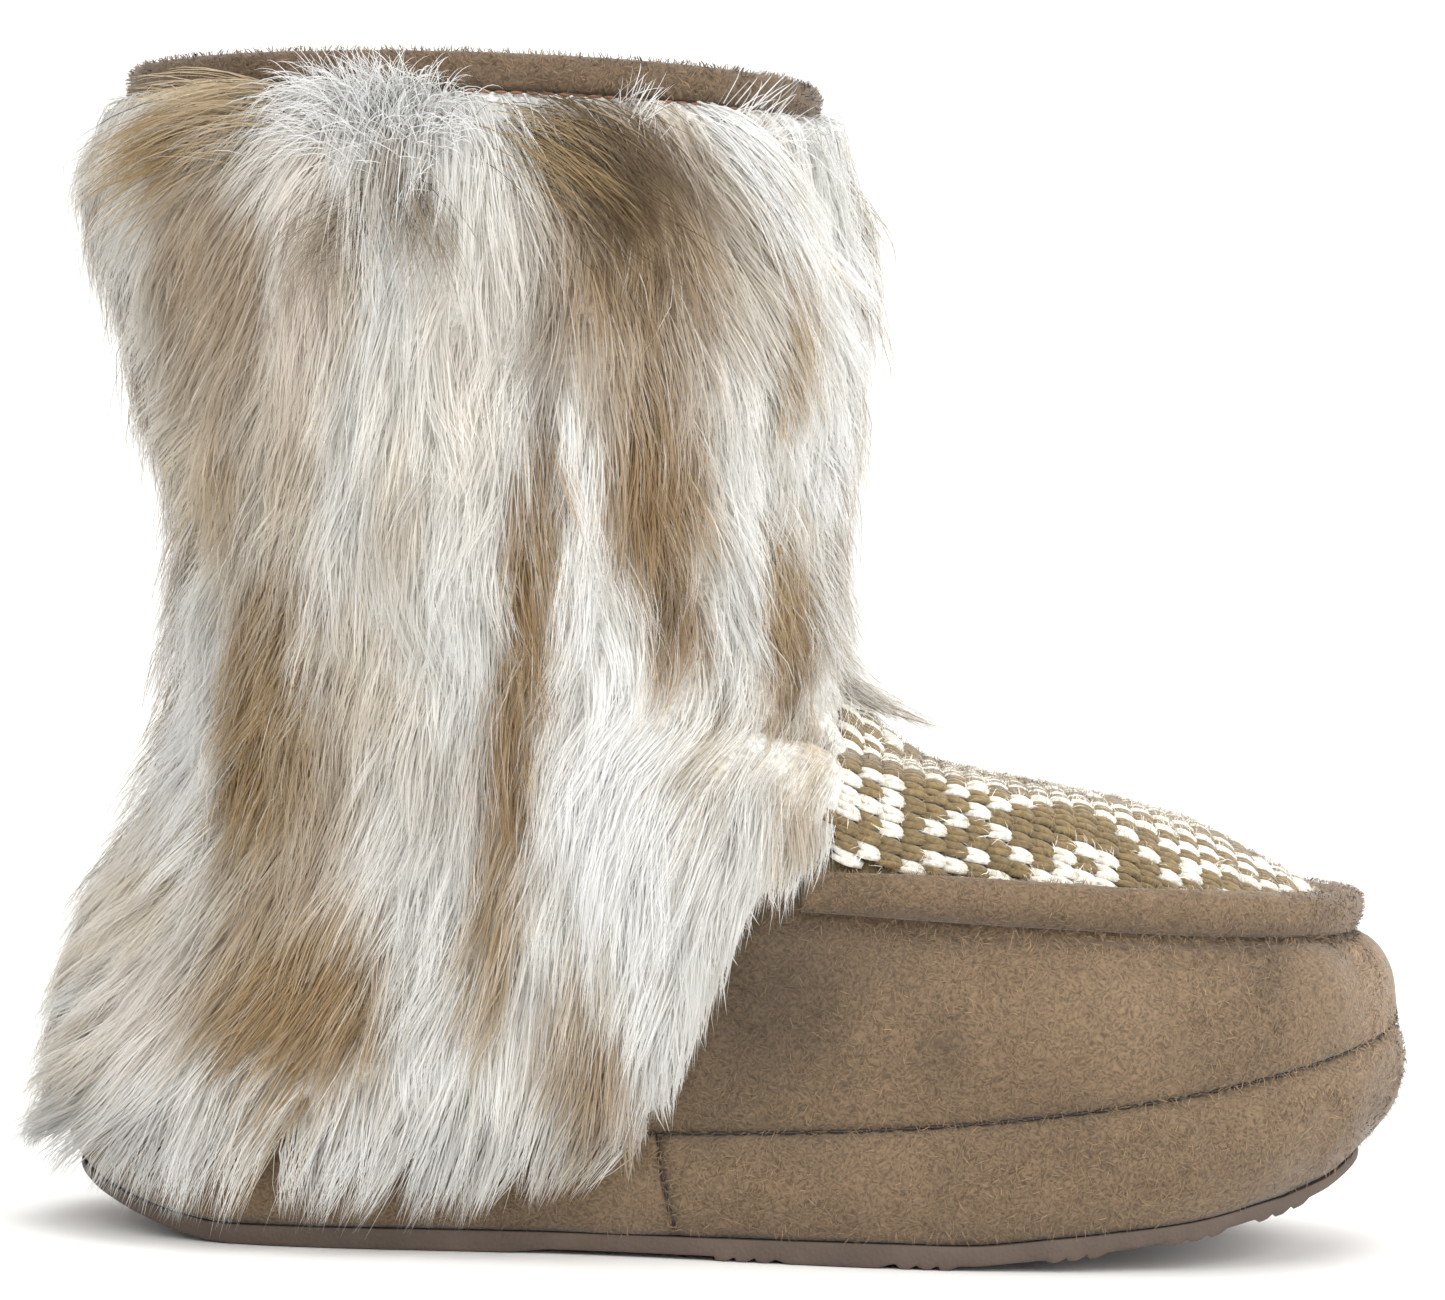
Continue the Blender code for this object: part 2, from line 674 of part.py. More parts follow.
def make_fur(look, form):
    """Deep fur with shingled pointed locks, from the collar down to a ragged hem over the band."""
    rng = random.Random(7)
    sections = []
    top = TOP_ROW - FUR_CLEAR_ROWS
    for column, angle in enumerate(ring_angles()):
        edge = fur_edge_row(angle)
        on_band = edge == 0.0
        notched = column % 2
        if on_band:
            share = (1 + math.cos(angle)) / 2
            drop = FUR_HEM_DROP * np.interp(share, HEM_PLACES, HEM_SHARES)
            low = seam_height(share) - drop + notched * min(FUR_NOTCH, drop / 2)
            bottom = FUR_CLEAR_ROWS
            inner = [(*outline(np.array(angle), WALL), low)]
            outer = [(*outline(np.array(angle), -BAND_BULGE - HEM_SHARE * FUR_DEPTH), low)]
        else:
            bottom = edge + NOTCH_ROWS * notched
            inner = []
            outer = [over_skin(bottom, angle, HEM_SHARE * FUR_DEPTH)]
        for k in range(LOCK_ROWS):
            depth = FUR_DEPTH + FUR_RAGGED * (rng.random() - 0.5)
            full = min(1.0, 0.85 + 0.15 * k if on_band else 0.5 + 0.2 * k)
            pointed = LOCK_POINT * ((column + k) % 2) * (k > 0)
            shares = (np.array([0.0, LOCK_UNDERCUT]) + k + pointed) / LOCK_ROWS
            tip, under = rows_by_length(bottom, top, angle, shares)
            outer.append(over_skin(tip, angle, depth * full))
            outer.append(over_skin(under, angle, (depth - FUR_STEP) * full))
        outer.append(over_skin(top, angle, FUR_TOP_SHARE * FUR_DEPTH))
        rows = rows_by_length(bottom, top, angle, np.linspace(0, 1, LOCK_ROWS + (not on_band)))
        inner += list(over_skin(rows, np.full(len(rows), angle), np.full(len(rows), -WALL)))
        sections.append(np.array(outer + inner[::-1]))
    bm = bmesh.new()
    add_sweep(bm, sections, closed=True)
    return carve(finish_object("fur_shaft", bm, look), form)


def make_binding(look):
    """Rolled cuff on the collar's rim."""
    sections = []
    for angle in ring_angles():
        out = normal(float(TOP_ROW), angle)
        flat = np.array([out[0], out[1], 0.0])
        flat /= np.linalg.norm(flat)
        middle = skin(float(TOP_ROW), angle) - flat * WALL / 2 + (0, 0, GAP)
        sections.append([middle + flat * p.across * BINDING_THICK + (0, 0, p.out * BINDING_HEIGHT)
                         for p in BINDING_PROFILE])
    bm = bmesh.new()
    add_sweep(bm, sections, closed=True)
    return finish_object("collar_binding", bm, look)


def main():
    for old in list(bpy.data.objects):
        bpy.data.objects.remove(old)
    suede = material("suede", (0.27, 0.20, 0.14), 0.95)
    band = material("band_suede", (0.25, 0.18, 0.13), 0.95)
    make_outsole(material("rubber", (0.13, 0.10, 0.08), 0.75))
    make_band_cover("platform_cover_rear", band, front=False)
    make_band_cover("platform_cover_front", band, front=True)
    make_insole(material("fleece", (0.72, 0.66, 0.56), 1.0))
    make_upper(suede)
    form = make_form(suede)
    make_knit_plug(material("knit", (0.36, 0.27, 0.17), 1.0), form)
    make_rolled_seam(material("roll_suede", (0.30, 0.22, 0.16), 0.95))
    make_fur(material("fur", (0.72, 0.64, 0.54), 1.0), form)
    make_binding(material("terry", (0.31, 0.23, 0.15), 1.0))


main()
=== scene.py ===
"""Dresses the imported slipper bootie: suede, knit, long fur, binding, lining, sole, and the photo stage.

Laid out as an add-on and run as a script. Metres, +X to the toe, +Z up, -Y to the camera's side.
"""

import math
from collections import namedtuple

import bmesh
import bpy
import numpy as np
from bpy.props import FloatProperty, FloatVectorProperty, PointerProperty
from bpy.types import Operator, Panel, PropertyGroup
from mathutils import Matrix, Vector
from mathutils.kdtree import KDTree


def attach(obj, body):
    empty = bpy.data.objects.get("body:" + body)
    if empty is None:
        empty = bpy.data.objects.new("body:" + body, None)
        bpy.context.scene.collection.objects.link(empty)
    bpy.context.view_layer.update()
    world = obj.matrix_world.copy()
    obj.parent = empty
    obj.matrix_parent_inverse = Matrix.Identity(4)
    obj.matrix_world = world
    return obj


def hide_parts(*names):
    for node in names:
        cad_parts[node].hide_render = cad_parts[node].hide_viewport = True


bl_info = {
    "name": "Fur Slipper Bootie",
    "version": (1, 0, 0),
    "blender": (4, 5, 0),
    "location": "3D View > Sidebar > Bootie",
    "description": "Suede, knit and long-fur dressing for the slipper bootie's solids",
    "category": "Object",
}

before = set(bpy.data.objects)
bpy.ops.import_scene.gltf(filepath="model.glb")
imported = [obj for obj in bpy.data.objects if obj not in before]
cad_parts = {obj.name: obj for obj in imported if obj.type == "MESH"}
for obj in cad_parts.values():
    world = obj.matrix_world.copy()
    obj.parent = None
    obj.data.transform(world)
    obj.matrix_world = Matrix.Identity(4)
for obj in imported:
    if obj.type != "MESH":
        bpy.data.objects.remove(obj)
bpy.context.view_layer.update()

# The bootie's own sizes, as its solids are made
FOOT_LENGTH = 0.2675
HEEL_REACH = 0.037
BALL_WIDTH = 0.100
TOE_SWING = 0.008
INSTEP_HEIGHT = 0.0955
WALL = 0.003
SHAFT_HEIGHT = 0.225
SHAFT_LENGTH = 0.1370
SHAFT_WIDTH = 0.104
SHAFT_BACK = -0.0315
BAND_HEEL_TOP = 0.023
BAND_TOE_TOP = 0.046
BAND_THICK = 0.0065
BAND_BULGE = 0.0030
BAND_JOIN_X = 0.080
BAND_JOIN_LEAN = 0.004
SOLE_THICK = 0.0042
SOLE_LIP = 0.0008
HEEL_CURL = 0.0125
TOE_SPRING = 0.0185
TREAD_DEPTH = 0.0008
RIB_LENGTH = 0.0040
RIBS_IN_GROUP = 3
FOOTBED_THICK = 0.0150
FOOTBED_DISH = 0.0020
ROLL_WIDTH = 0.0084
ROLL_HEIGHT = 0.0072
ROLL_FILL = 0.96
FUR_HEM_DROP = 0.0175
BINDING_HEIGHT = 0.0075
BINDING_THICK = 0.0064
GAP = 0.0004
SEAM_POWER = 3.6

FootSection = namedtuple("FootSection", "back back_rise front front_rise sag heel waist ball toe")
FOOT_SECTIONS = tuple(FootSection(*row) for row in (
    (0.000, 0.000, 1.000, 0.000, 1.00, 0.60, 0.390, 0.525, 0.740),
    (0.002, 0.150, 0.997, 0.100, 0.80, 0.61, 0.400, 0.545, 0.760),
    (0.008, 0.315, 0.992, 0.210, 0.55, 0.61, 0.405, 0.550, 0.750),
    (0.021, 0.480, 0.981, 0.310, 0.30, 0.60, 0.405, 0.525, 0.710),
    (0.038, 0.645, 0.967, 0.370, 0.10, 0.58, 0.400, 0.485, 0.650),
    (0.058, 0.805, 0.954, 0.405, 0.00, 0.56, 0.400, 0.450, 0.600),
    (0.067, 0.895, 0.935, 0.470, 0.00, 0.55, 0.400, 0.430, 0.570),
    (0.075, 0.960, 0.907, 0.550, 0.00, 0.54, 0.405, 0.425, 0.550),
    (0.080, 1.020, 0.879, 0.630, 0.00, 0.53, 0.410, 0.420, 0.535),
    (0.084, 1.080, 0.845, 0.725, 0.00, 0.52, 0.415, 0.418, 0.515),
    (0.086, 1.140, 0.803, 0.800, 0.00, 0.51, 0.420, 0.418, 0.490),
    (0.087, 1.195, 0.748, 0.857, 0.00, 0.50, 0.425, 0.420, 0.465),
    (0.088, 1.250, 0.688, 0.912, 0.00, 0.49, 0.430, 0.430, 0.450),
    (0.088, 1.310, 0.627, 0.995, 0.00, 0.48, 0.435, 0.440, 0.450),
))
ShaftSection = namedtuple("ShaftSection", "back back_rise front front_rise girth")
SHAFT_SECTIONS = tuple(ShaftSection(*row) for row in (
    (0.142, 0.262, 1.050, 0.110, 0.455),
    (0.136, 0.335, 1.008, 0.215, 0.452),
    (0.112, 0.435, 1.004, 0.343, 0.460),
    (0.076, 0.560, 1.020, 0.498, 0.475),
    (0.032, 0.700, 1.037, 0.660, 0.490),
    (-0.004, 0.830, 1.041, 0.815, 0.503),
    (-0.011, 0.923, 1.025, 0.915, 0.508),
    (0.000, 1.000, 1.000, 1.000, 0.500),
))
WIDTH_PLACES = (0.0, 0.35, 0.68, 1.0)
ROLL_ROW = 5

# Underside of the rubber, along in shares of its length
SoleStation = namedtuple("SoleStation", "along curl tread spring")
SOLE_LINE = tuple(SoleStation(*row) for row in (
    (0.000, 0.84, 0.0, 0.0),
    (0.022, 0.60, 0.0, 0.0),
    (0.054, 0.34, 0.0, 0.0),
    (0.085, 0.14, 0.0, 0.0),
    (0.108, 0.04, 0.0, 0.0),
    (0.125, 0.00, 0.0, 0.0),
    (0.340, 0.00, 0.0, 0.0),
    (0.370, 0.00, 1.0, 0.0),
    (0.540, 0.00, 1.0, 0.0),
    (0.548, 0.00, 0.0, 0.0),
    (0.618, 0.00, 0.0, 0.0),
    (0.626, 0.00, 1.0, 0.0),
    (0.690, 0.00, 1.0, 0.0),
    (0.740, 0.00, 1.0, 0.08),
    (0.795, 0.00, 1.0, 0.19),
    (0.860, 0.00, 1.0, 0.34),
    (0.925, 0.00, 0.6, 0.58),
    (0.965, 0.00, 0.2, 0.78),
    (1.000, 0.00, 0.0, 1.00),
))
RIB_GROUPS = (0.518, 0.654, 0.765, 0.857, 0.925)
RUBBER_PLACES = (0.0, 0.1, 0.5, 0.72, 0.9, 1.0)
RUBBER_SHARES = (0.45, 0.85, 1.0, 1.1, 0.8, 0.45)
TUCK_PLACES = (0.0, 0.15, 0.5, 0.8, 0.95, 1.0)
TUCK_SHARES = (0.10, 0.30, 0.42, 0.60, 1.00, 1.25)
BULGE_HEIGHTS = (0.0, 0.07, 0.28, 0.55, 0.82, 1.0)
BULGE_SHARES = (0.0, 0.40, 0.90, 1.00, 0.65, 0.0)
HEM_PLACES = (0.00, 0.06, 0.14, 0.27, 0.36, 0.45)
HEM_SHARES = (0.45, 0.85, 1.00, 0.90, 0.62, 0.25)

# Where the fur's tips end on the vamp, seen from the side
FurEdge = namedtuple("FurEdge", "rise along")
FUR_EDGE = tuple(FurEdge(*row) for row in (
    (0.00, 0.428),
    (0.12, 0.454),
    (0.32, 0.470),
    (0.50, 0.492),
    (0.66, 0.508),
    (0.86, 0.575),
    (1.03, 0.592),
    (1.30, 0.602),
))

# Colours of the finishes
SUEDE = "#78634B"
SEAM_THREAD = "#2F2722"
RUBBER = "#54463C"
KNIT_BROWN = "#84704C"
KNIT_CREAM = "#F2EDE0"
FLEECE = "#E6DACA"
CUFF = "#6C5843"
CUFF_THREAD = "#7A5238"
FLOOR = "#F1F0EE"

# Colours of the fur's hairs
FUR_TONES = {
    "white": "#FAFAF7",
    "cream": "#F1EADF",
    "blush": "#EBE0D5",
    "sand": "#D2C0A2",
    "grey": "#A89B8A",
    "tan": "#B39B74",
    "brown": "#A5895F",
    "dark": "#6E5A3F",
}

# Patches of the fur's colouring on the outer side, one narrow streak partly painted shadow: middle and
# half-size in mm, x to the toe and z up
Patch = namedtuple("Patch", "x z wide high tone share")
FUR_PATCHES = tuple(Patch(*row) for row in (
    (118, 160, 14, 70, "white", 1.00),
    (72, 92, 15, 34, "white", 1.00),
    (20, 24, 34, 9, "white", 0.90),
    (42, 175, 8, 40, "cream", 0.40),
    (8, 190, 6, 26, "blush", 0.80),
    (-22, 118, 5, 16, "blush", 0.40),
    (-19, 49, 11, 11, "blush", 0.50),
    (-12, 190, 13, 32, "tan", 0.68),
    (-18, 196, 5, 22, "brown", 0.22),
    (-5, 188, 4, 22, "brown", 0.28),
    (-12, 150, 8, 14, "sand", 0.60),
    (-8, 145, 5, 16, "tan", 0.50),
    (1, 104, 10, 32, "tan", 0.95),
    (-13, 105, 5, 27, "white", 0.90),
    # Narrow brown streak: partly tan hair and partly painted shadow between the locks
    (-2, 100, 3, 24, "brown", 0.60),
    (-21, 72, 8, 11, "sand", 0.50),
    (-34, 57, 5, 6, "sand", 0.60),
    (-33, 36, 6, 6, "sand", 0.50),
    (9, 54, 18, 20, "tan", 0.95),
    (8, 43, 13, 9, "brown", 0.70),
    (22, 46, 6, 10, "brown", 0.85),
    (13, 90, 7, 20, "tan", 0.60),
    (8, 25, 6, 4, "sand", 0.60),
    (6, 158, 9, 16, "sand", 0.50),
    (17, 190, 3, 14, "sand", 0.45),
    (28, 147, 6, 12, "sand", 0.40),
    (18, 122, 4, 12, "sand", 0.40),
    (23, 109, 8, 10, "sand", 0.35),
    (35, 89, 5, 14, "grey", 0.25),
    (24, 211, 8, 5, "grey", 0.80),
    (71, 197, 19, 28, "brown", 0.86),
    (76, 153, 11, 20, "brown", 0.95),
    (81, 126, 6, 13, "brown", 0.90),
    (64, 216, 12, 6, "dark", 0.75),
    (77, 213, 7, 4, "dark", 0.60),
    (76, 188, 7, 5, "dark", 0.70),
    (55, 178, 3, 16, "dark", 0.45),
    (79, 132, 3, 9, "dark", 0.55),
    (62, 148, 4, 17, "white", 1.00),
    (55, 152, 4, 14, "brown", 0.75),
    (53, 128, 5, 20, "brown", 0.95),
    (50, 98, 5, 22, "brown", 0.95),
    (48, 64, 5, 18, "tan", 0.90),
    (65, 44, 8, 14, "tan", 0.70),
    (69, 34, 6, 9, "brown", 0.60),
    (90, 101, 3, 11, "tan", 0.60),
    (96, 212, 4, 11, "tan", 0.70),
    (102, 184, 3, 20, "tan", 0.85),
    (102, 128, 5, 20, "tan", 0.90),
    (103, 128, 3, 14, "brown", 0.60),
    (109, 99, 4, 10, "tan", 0.70),
    (105, 83, 5, 7, "tan", 0.60),
))

# How far the fur leans to the heel for each step down, round places in mm
Lean = namedtuple("Lean", "x z wide high lean")
FUR_LEANS = tuple(Lean(*row) for row in (
    (-30, 60, 34, 38, 0.70),
    (20, 60, 34, 34, 0.40),
    (55, 30, 22, 20, 0.30),
    (-20, 170, 26, 40, 0.22),
    (-14, 222, 24, 9, 1.60),
    (62, 222, 24, 8, -0.55),
    (86, 205, 9, 18, -0.60),
    (90, 100, 24, 30, 0.12),
))

# The knit's colour repeat from the roll up to the crest: o is cream, wales across the page
KNIT_CHART = (
    "ooo.o...o.",
    "o.o..o.o..",
    ".oo...o...",
    ".....o.o..",
    "....o.o.o.",
    "...o..o..o",
    "o.o..o.o..",
    ".o.oo.o.oo",
    "o.o..o.o..",
    ".o.o..o..o",
    "....oo.oo.",
    "o.o...o..o",
)

# Photo framing: camera place in metres, the photo's width, the focal length and the drop of the photo's
# middle in pixels, the roll in degrees, and the sensor in millimetres
CAMERA_PLACE = (0.090, -0.900, 0.129)
PHOTO_WIDTH = 1445
FOCAL_PIXELS = 4410
DROP_PIXELS = 52
CAMERA_ROLL = 1.5
SENSOR = 36.0


def rgb(code):
    """Linear colour of an sRGB hex code."""
    parts = [int(code[i:i + 2], 16) / 255 for i in (1, 3, 5)]
    return tuple(p / 12.92 if p <= 0.04045 else ((p + 0.055) / 1.055) ** 2.4 for p in parts)


def shaded(colour, share):
    """A linear colour made darker or lighter."""
    return tuple(part * share for part in colour)


# What a user may change


def length_property(name, description, default):
    return FloatProperty(name=name, description=description, default=default, min=0.0, precision=5,
                         subtype="DISTANCE", unit="LENGTH")


def colour_property(name, description, code):
    return FloatVectorProperty(name=name, description=description, default=rgb(code), size=3, min=0.0,
                               max=1.0, subtype="COLOR")


class BootieSizes(PropertyGroup):
    """Sizes of the soft finishes; those of the solids stay as they are made"""

    fur_length: length_property("Fur length", "Length of the pile's hairs", 0.024)
    fur_stand: length_property("Fur stand", "How far the pile stands out from its cloth", 0.0098)
    fur_share: FloatProperty(name="Fur share", description="Share of the hairs that are made", default=1.0,
                             min=0.05, max=1.0, subtype="FACTOR")
    nap_length: length_property("Nap length", "Length of the suede's nap", 0.0021)
    pile_length: length_property("Cuff pile", "Length of the cuff's pile", 0.0016)
    yarn: length_property("Yarn", "Thickness of the knit's yarn", 0.0019)
    thread: length_property("Thread", "Thickness of the sewing thread", 0.0006)


class BootieColours(PropertyGroup):
    """Colours of the finishes"""

    suede: colour_property("Suede", "Brushed suede of the vamp, band and roll", SUEDE)
    cuff: colour_property("Cuff", "Brushed pile of the cuff", CUFF)
    rubber: colour_property("Rubber", "Moulded rubber of the sole", RUBBER)
    fleece: colour_property("Fleece", "Curly fleece of the lining and footbed", FLEECE)
    knit_brown: colour_property("Brown yarn", "Ground yarn of the knit", KNIT_BROWN)
    knit_cream: colour_property("Cream yarn", "Pattern yarn of the knit", KNIT_CREAM)
    seam_thread: colour_property("Seam thread", "Thread of the band's seams", SEAM_THREAD)
    cuff_thread: colour_property("Cuff thread", "Thread under the cuff", CUFF_THREAD)
    fur_white: colour_property("White fur", "Lightest hairs", FUR_TONES["white"])
    fur_cream: colour_property("Cream fur", "Cream hairs", FUR_TONES["cream"])
    fur_blush: colour_property("Blush fur", "Pinkish cream hairs", FUR_TONES["blush"])
    fur_sand: colour_property("Sand fur", "Sand-coloured hairs", FUR_TONES["sand"])
    fur_grey: colour_property("Grey fur", "Grey-brown hairs", FUR_TONES["grey"])
    fur_tan: colour_property("Tan fur", "Tan hairs", FUR_TONES["tan"])
    fur_brown: colour_property("Brown fur", "Brown hairs", FUR_TONES["brown"])
    fur_dark: colour_property("Dark fur", "Darkest hairs", FUR_TONES["dark"])


def sizes():
    return bpy.context.scene.bootie_sizes


def colours():
    return bpy.context.scene.bootie_colours


def tone(name):
    """Linear colour of one kind of hair."""
    return np.array(getattr(colours(), "fur_" + name))


def hairs(count):
    """How many hairs of a full count are made."""
    return int(count * sizes().fur_share * (1.0))


# Shapes shared with the solids


def blend(p0, p1, p2, p3, part):
    """A smooth curve between p1 and p2, with p0 and p3 as their outer neighbours."""
    slope_1, slope_2 = (p2 - p0) / 2, (p3 - p1) / 2
    square, cube = part**2, part**3
    return (
        p1 * (2 * cube - 3 * square + 1)
        + slope_1 * (cube - 2 * square + part)
        + p2 * (3 * square - 2 * cube)
        + slope_2 * (cube - square)
    )


def neighbours(count, at):
    """Indices of the four values round a fractional index, and the part of the step in the middle."""
    at = np.clip(np.asarray(at, float), 0, count - 1)
    low = np.minimum(at.astype(int), count - 2)
    return (np.maximum(low - 1, 0), low, low + 1, np.minimum(low + 2, count - 1)), at - low


def cubic(rows, at):
    """Values of a table at fractional row numbers, on a smooth curve through the rows."""
    rows = np.asarray(rows, float)
    picks, part = neighbours(len(rows), at)
    return blend(*(rows[pick] for pick in picks), part[..., None])


def between(places, values, at):
    """A smooth value at a place, where values are given at a few rising places."""
    return cubic(np.asarray(values, float)[:, None], np.interp(at, places, range(len(places))))[..., 0]


def seam_height(share):
    """Height of the seam over the band, at a share of the way from heel to toe."""
    return BAND_HEEL_TOP + (BAND_TOE_TOP - BAND_HEEL_TOP) * share**SEAM_POWER


def upper_rows():
    """The sections as real lengths: back x, back z, front x, front z, sag, swing and four half-widths."""
    rows = []
    for s in FOOT_SECTIONS:
        rows.append((
            s.back * FOOT_LENGTH - HEEL_REACH,
            BAND_HEEL_TOP + s.back_rise * (INSTEP_HEIGHT - BAND_HEEL_TOP),
            s.front * FOOT_LENGTH - HEEL_REACH,
            BAND_TOE_TOP + s.front_rise * (INSTEP_HEIGHT - BAND_TOE_TOP),
            s.sag,
            TOE_SWING * (1 - 0.5 * s.front_rise**2),
            *(share * BALL_WIDTH for share in (s.heel, s.waist, s.ball, s.toe)),
        ))
    for s in SHAFT_SECTIONS:
        rise = SHAFT_HEIGHT - INSTEP_HEIGHT
        rows.append((
            SHAFT_BACK + s.back * SHAFT_LENGTH,
            INSTEP_HEIGHT + s.back_rise * rise,
            SHAFT_BACK + s.front * SHAFT_LENGTH,
            INSTEP_HEIGHT + s.front_rise * rise,
            0.0,
            TOE_SWING * 0.4 * (1 - s.front_rise),
            *[s.girth * SHAFT_WIDTH] * 4,
        ))
    return np.array(rows)


UPPER_ROWS = upper_rows()
TOP_ROW = len(UPPER_ROWS) - 1


def skin(row, angle):
    """The upper's outer surface. row counts sections from the band up, angle 0 is the front, and
    angles up to pi are on the inner side of the foot."""
    row, angle = np.broadcast_arrays(np.asarray(row, float), np.asarray(angle, float))
    v = cubic(UPPER_ROWS, row)
    share = (1 + np.cos(angle)) / 2
    widths = v[..., 6:10]
    picks, part = neighbours(4, np.interp(share, WIDTH_PLACES, range(4)))
    half = blend(*(np.take_along_axis(widths, pick[..., None], -1)[..., 0] for pick in picks), part)
    middle = v[..., 5] * (share**3 - 0.3 * np.sin(math.pi * share))
    straight = BAND_HEEL_TOP + (BAND_TOE_TOP - BAND_HEEL_TOP) * share
    x = v[..., 0] + (v[..., 2] - v[..., 0]) * share
    z = v[..., 1] + (v[..., 3] - v[..., 1]) * share + v[..., 4] * (seam_height(share) - straight)
    return np.stack([x, middle + half * np.sin(angle), z], axis=-1)


def normal(row, angle):
    """Outward direction of the upper's surface."""
    row, angle = np.broadcast_arrays(np.asarray(row, float), np.asarray(angle, float))
    step = 0.02
    low, high = np.maximum(row - step, 0), np.minimum(row + step, TOP_ROW)
    up = skin(high, angle) - skin(low, angle)
    around = skin(row, angle + step) - skin(row, angle - step)
    return unit(np.cross(around, up))


def over_skin(row, angle, offset):
    """A point at an offset out from the upper's surface."""
    return skin(row, angle) + normal(row, angle) * np.asarray(offset, float)[..., None]


def unit(vectors):
    return vectors / np.maximum(np.linalg.norm(vectors, axis=-1, keepdims=True), 1e-12)


def smooth(low, high, values):
    """0 below low, 1 above high, with soft ends."""
    part = np.clip((np.asarray(values, float) - low) / (high - low), 0, 1)
    return part * part * (3 - 2 * part)


def soft_noise(points, size, seed):
    """Smooth values from about -1 to 1 that change over a given size."""
    chance = np.random.default_rng(seed)
    total = np.zeros(len(points))
    for _ in range(8):
        heading = unit(chance.normal(size=3))
        pitch = 2 * math.pi / size * chance.uniform(0.5, 1.4)
        total += np.sin(points @ heading * pitch + chance.uniform(0, 2 * math.pi))
    return total / 3


def outline(angle, inset):
    """Plan of the band's seam, moved in by an inset: x and y."""
    on_seam = skin(0.0, angle)
    step = 0.02
    along = skin(0.0, angle + step) - skin(0.0, angle - step)
    across = unit(np.stack([along[..., 1], -along[..., 0]], axis=-1))
    return on_seam[..., :2] - across * np.asarray(inset, float)[..., None]


def tuck(angle):
    """How far the band's foot tucks in under its seam."""
    return BAND_THICK * between(TUCK_PLACES, TUCK_SHARES, (1 + np.cos(angle)) / 2)


def sole_ends():
    """x of the rubber's heel end and toe end."""
    back = outline(np.array(math.pi), tuck(math.pi) - SOLE_LIP)[0]
    front = outline(np.array(0.0), tuck(0.0) - SOLE_LIP)[0]
    return back, front


SOLE_BACK, SOLE_FRONT = sole_ends()


def sole_share(x):
    return (np.asarray(x, float) - SOLE_BACK) / (SOLE_FRONT - SOLE_BACK)


def rib_stations():
    """x of each rib's foot, tip and heel, groups of saw teeth that run across the sole."""
    stations = []
    for place in RIB_GROUPS:
        start = SOLE_BACK + place * (SOLE_FRONT - SOLE_BACK) - RIB_LENGTH * RIBS_IN_GROUP / 2
        for i in range(RIBS_IN_GROUP):
            x = start + i * RIB_LENGTH
            stations += [(x, 0.0), (x + 0.1 * RIB_LENGTH, 1.0), (x + 0.6 * RIB_LENGTH, 1.0)]
        stations.append((start + RIBS_IN_GROUP * RIB_LENGTH, 0.0))
    return stations


def sole_bottom(x):
    """Height of the rubber's underside, ribs included."""
    lifts = [s.curl * HEEL_CURL + s.tread * TREAD_DEPTH + s.spring * TOE_SPRING for s in SOLE_LINE]
    base = np.interp(sole_share(x), [s.along for s in SOLE_LINE], lifts)
    places, shares = zip(*rib_stations())
    return base - TREAD_DEPTH * np.interp(x, places, shares, left=0.0, right=0.0)


def sole_top(x):
    """Height of the rubber's upper side."""
    share = sole_share(x)
    places = [s.along for s in SOLE_LINE]
    curl = HEEL_CURL * np.interp(share, places, [s.curl for s in SOLE_LINE])
    spring = TOE_SPRING * between(places, [s.spring for s in SOLE_LINE], share)
    return curl + spring + SOLE_THICK * between(RUBBER_PLACES, RUBBER_SHARES, share)


def fur_front(z):
    """How far ahead the fur reaches at a height."""
    rises = [BAND_HEEL_TOP + e.rise * (INSTEP_HEIGHT - BAND_HEEL_TOP) for e in FUR_EDGE]
    places = [e.along * FOOT_LENGTH - HEEL_REACH for e in FUR_EDGE]
    return np.interp(z, rises, places)


def fur_edge_rows():
    """A table of angles and of the row at which the fur ends there, 0 where it reaches the band."""
    angles = np.linspace(0, math.pi, 361)
    low, high = np.zeros(len(angles)), np.full(len(angles), float(len(FOOT_SECTIONS) + 2))
    on_seam = skin(low, angles)
    on_band = on_seam[:, 0] <= fur_front(on_seam[:, 2])
    for _ in range(30):
        middle = (low + high) / 2
        point = skin(middle, angles)
        ahead = point[:, 0] > fur_front(point[:, 2])
        low, high = np.where(ahead, middle, low), np.where(ahead, high, middle)
    return angles, np.where(on_band, 0.0, high)


FUR_ANGLES, FUR_ROWS = fur_edge_rows()


def fur_edge_row(angle):
    """The row at which the fur ends, at any angle."""
    turned = np.abs((np.asarray(angle) + math.pi) % (2 * math.pi) - math.pi)
    return np.interp(turned, FUR_ANGLES, FUR_ROWS)


# Making of materials and meshes


def add_node(tree, kind, inputs=(), stops=(), **settings):
    """Adds a node, sets its settings and its ramp's stops, and fills or links its inputs."""
    made = tree.nodes.new(kind)
    while stops and len(made.color_ramp.elements) < len(stops):
        made.color_ramp.elements.new(0.5)
    for k, (place, colour) in enumerate(stops):
        made.color_ramp.elements[k].position = place
        made.color_ramp.elements[k].color = (*colour, 1)
    for name, value in settings.items():
        setattr(made, name, value)
    for name, value in dict(inputs).items():
        if isinstance(value, bpy.types.NodeSocket):
            tree.links.new(value, made.inputs[name])
        else:
            made.inputs[name].default_value = value
    return made


def new_material(name, roughness, **constants):
    """A named material with its shader, and constants set on the shader's own sockets."""
    made = bpy.data.materials.new(name)
    made.use_nodes = True
    shader = made.node_tree.nodes["Principled BSDF"]
    shader.inputs["Roughness"].default_value = roughness
    for socket, value in constants.items():
        shader.inputs[socket.replace("_", " ").title().replace("Ior", "IOR")].default_value = value
    return made, made.node_tree, shader


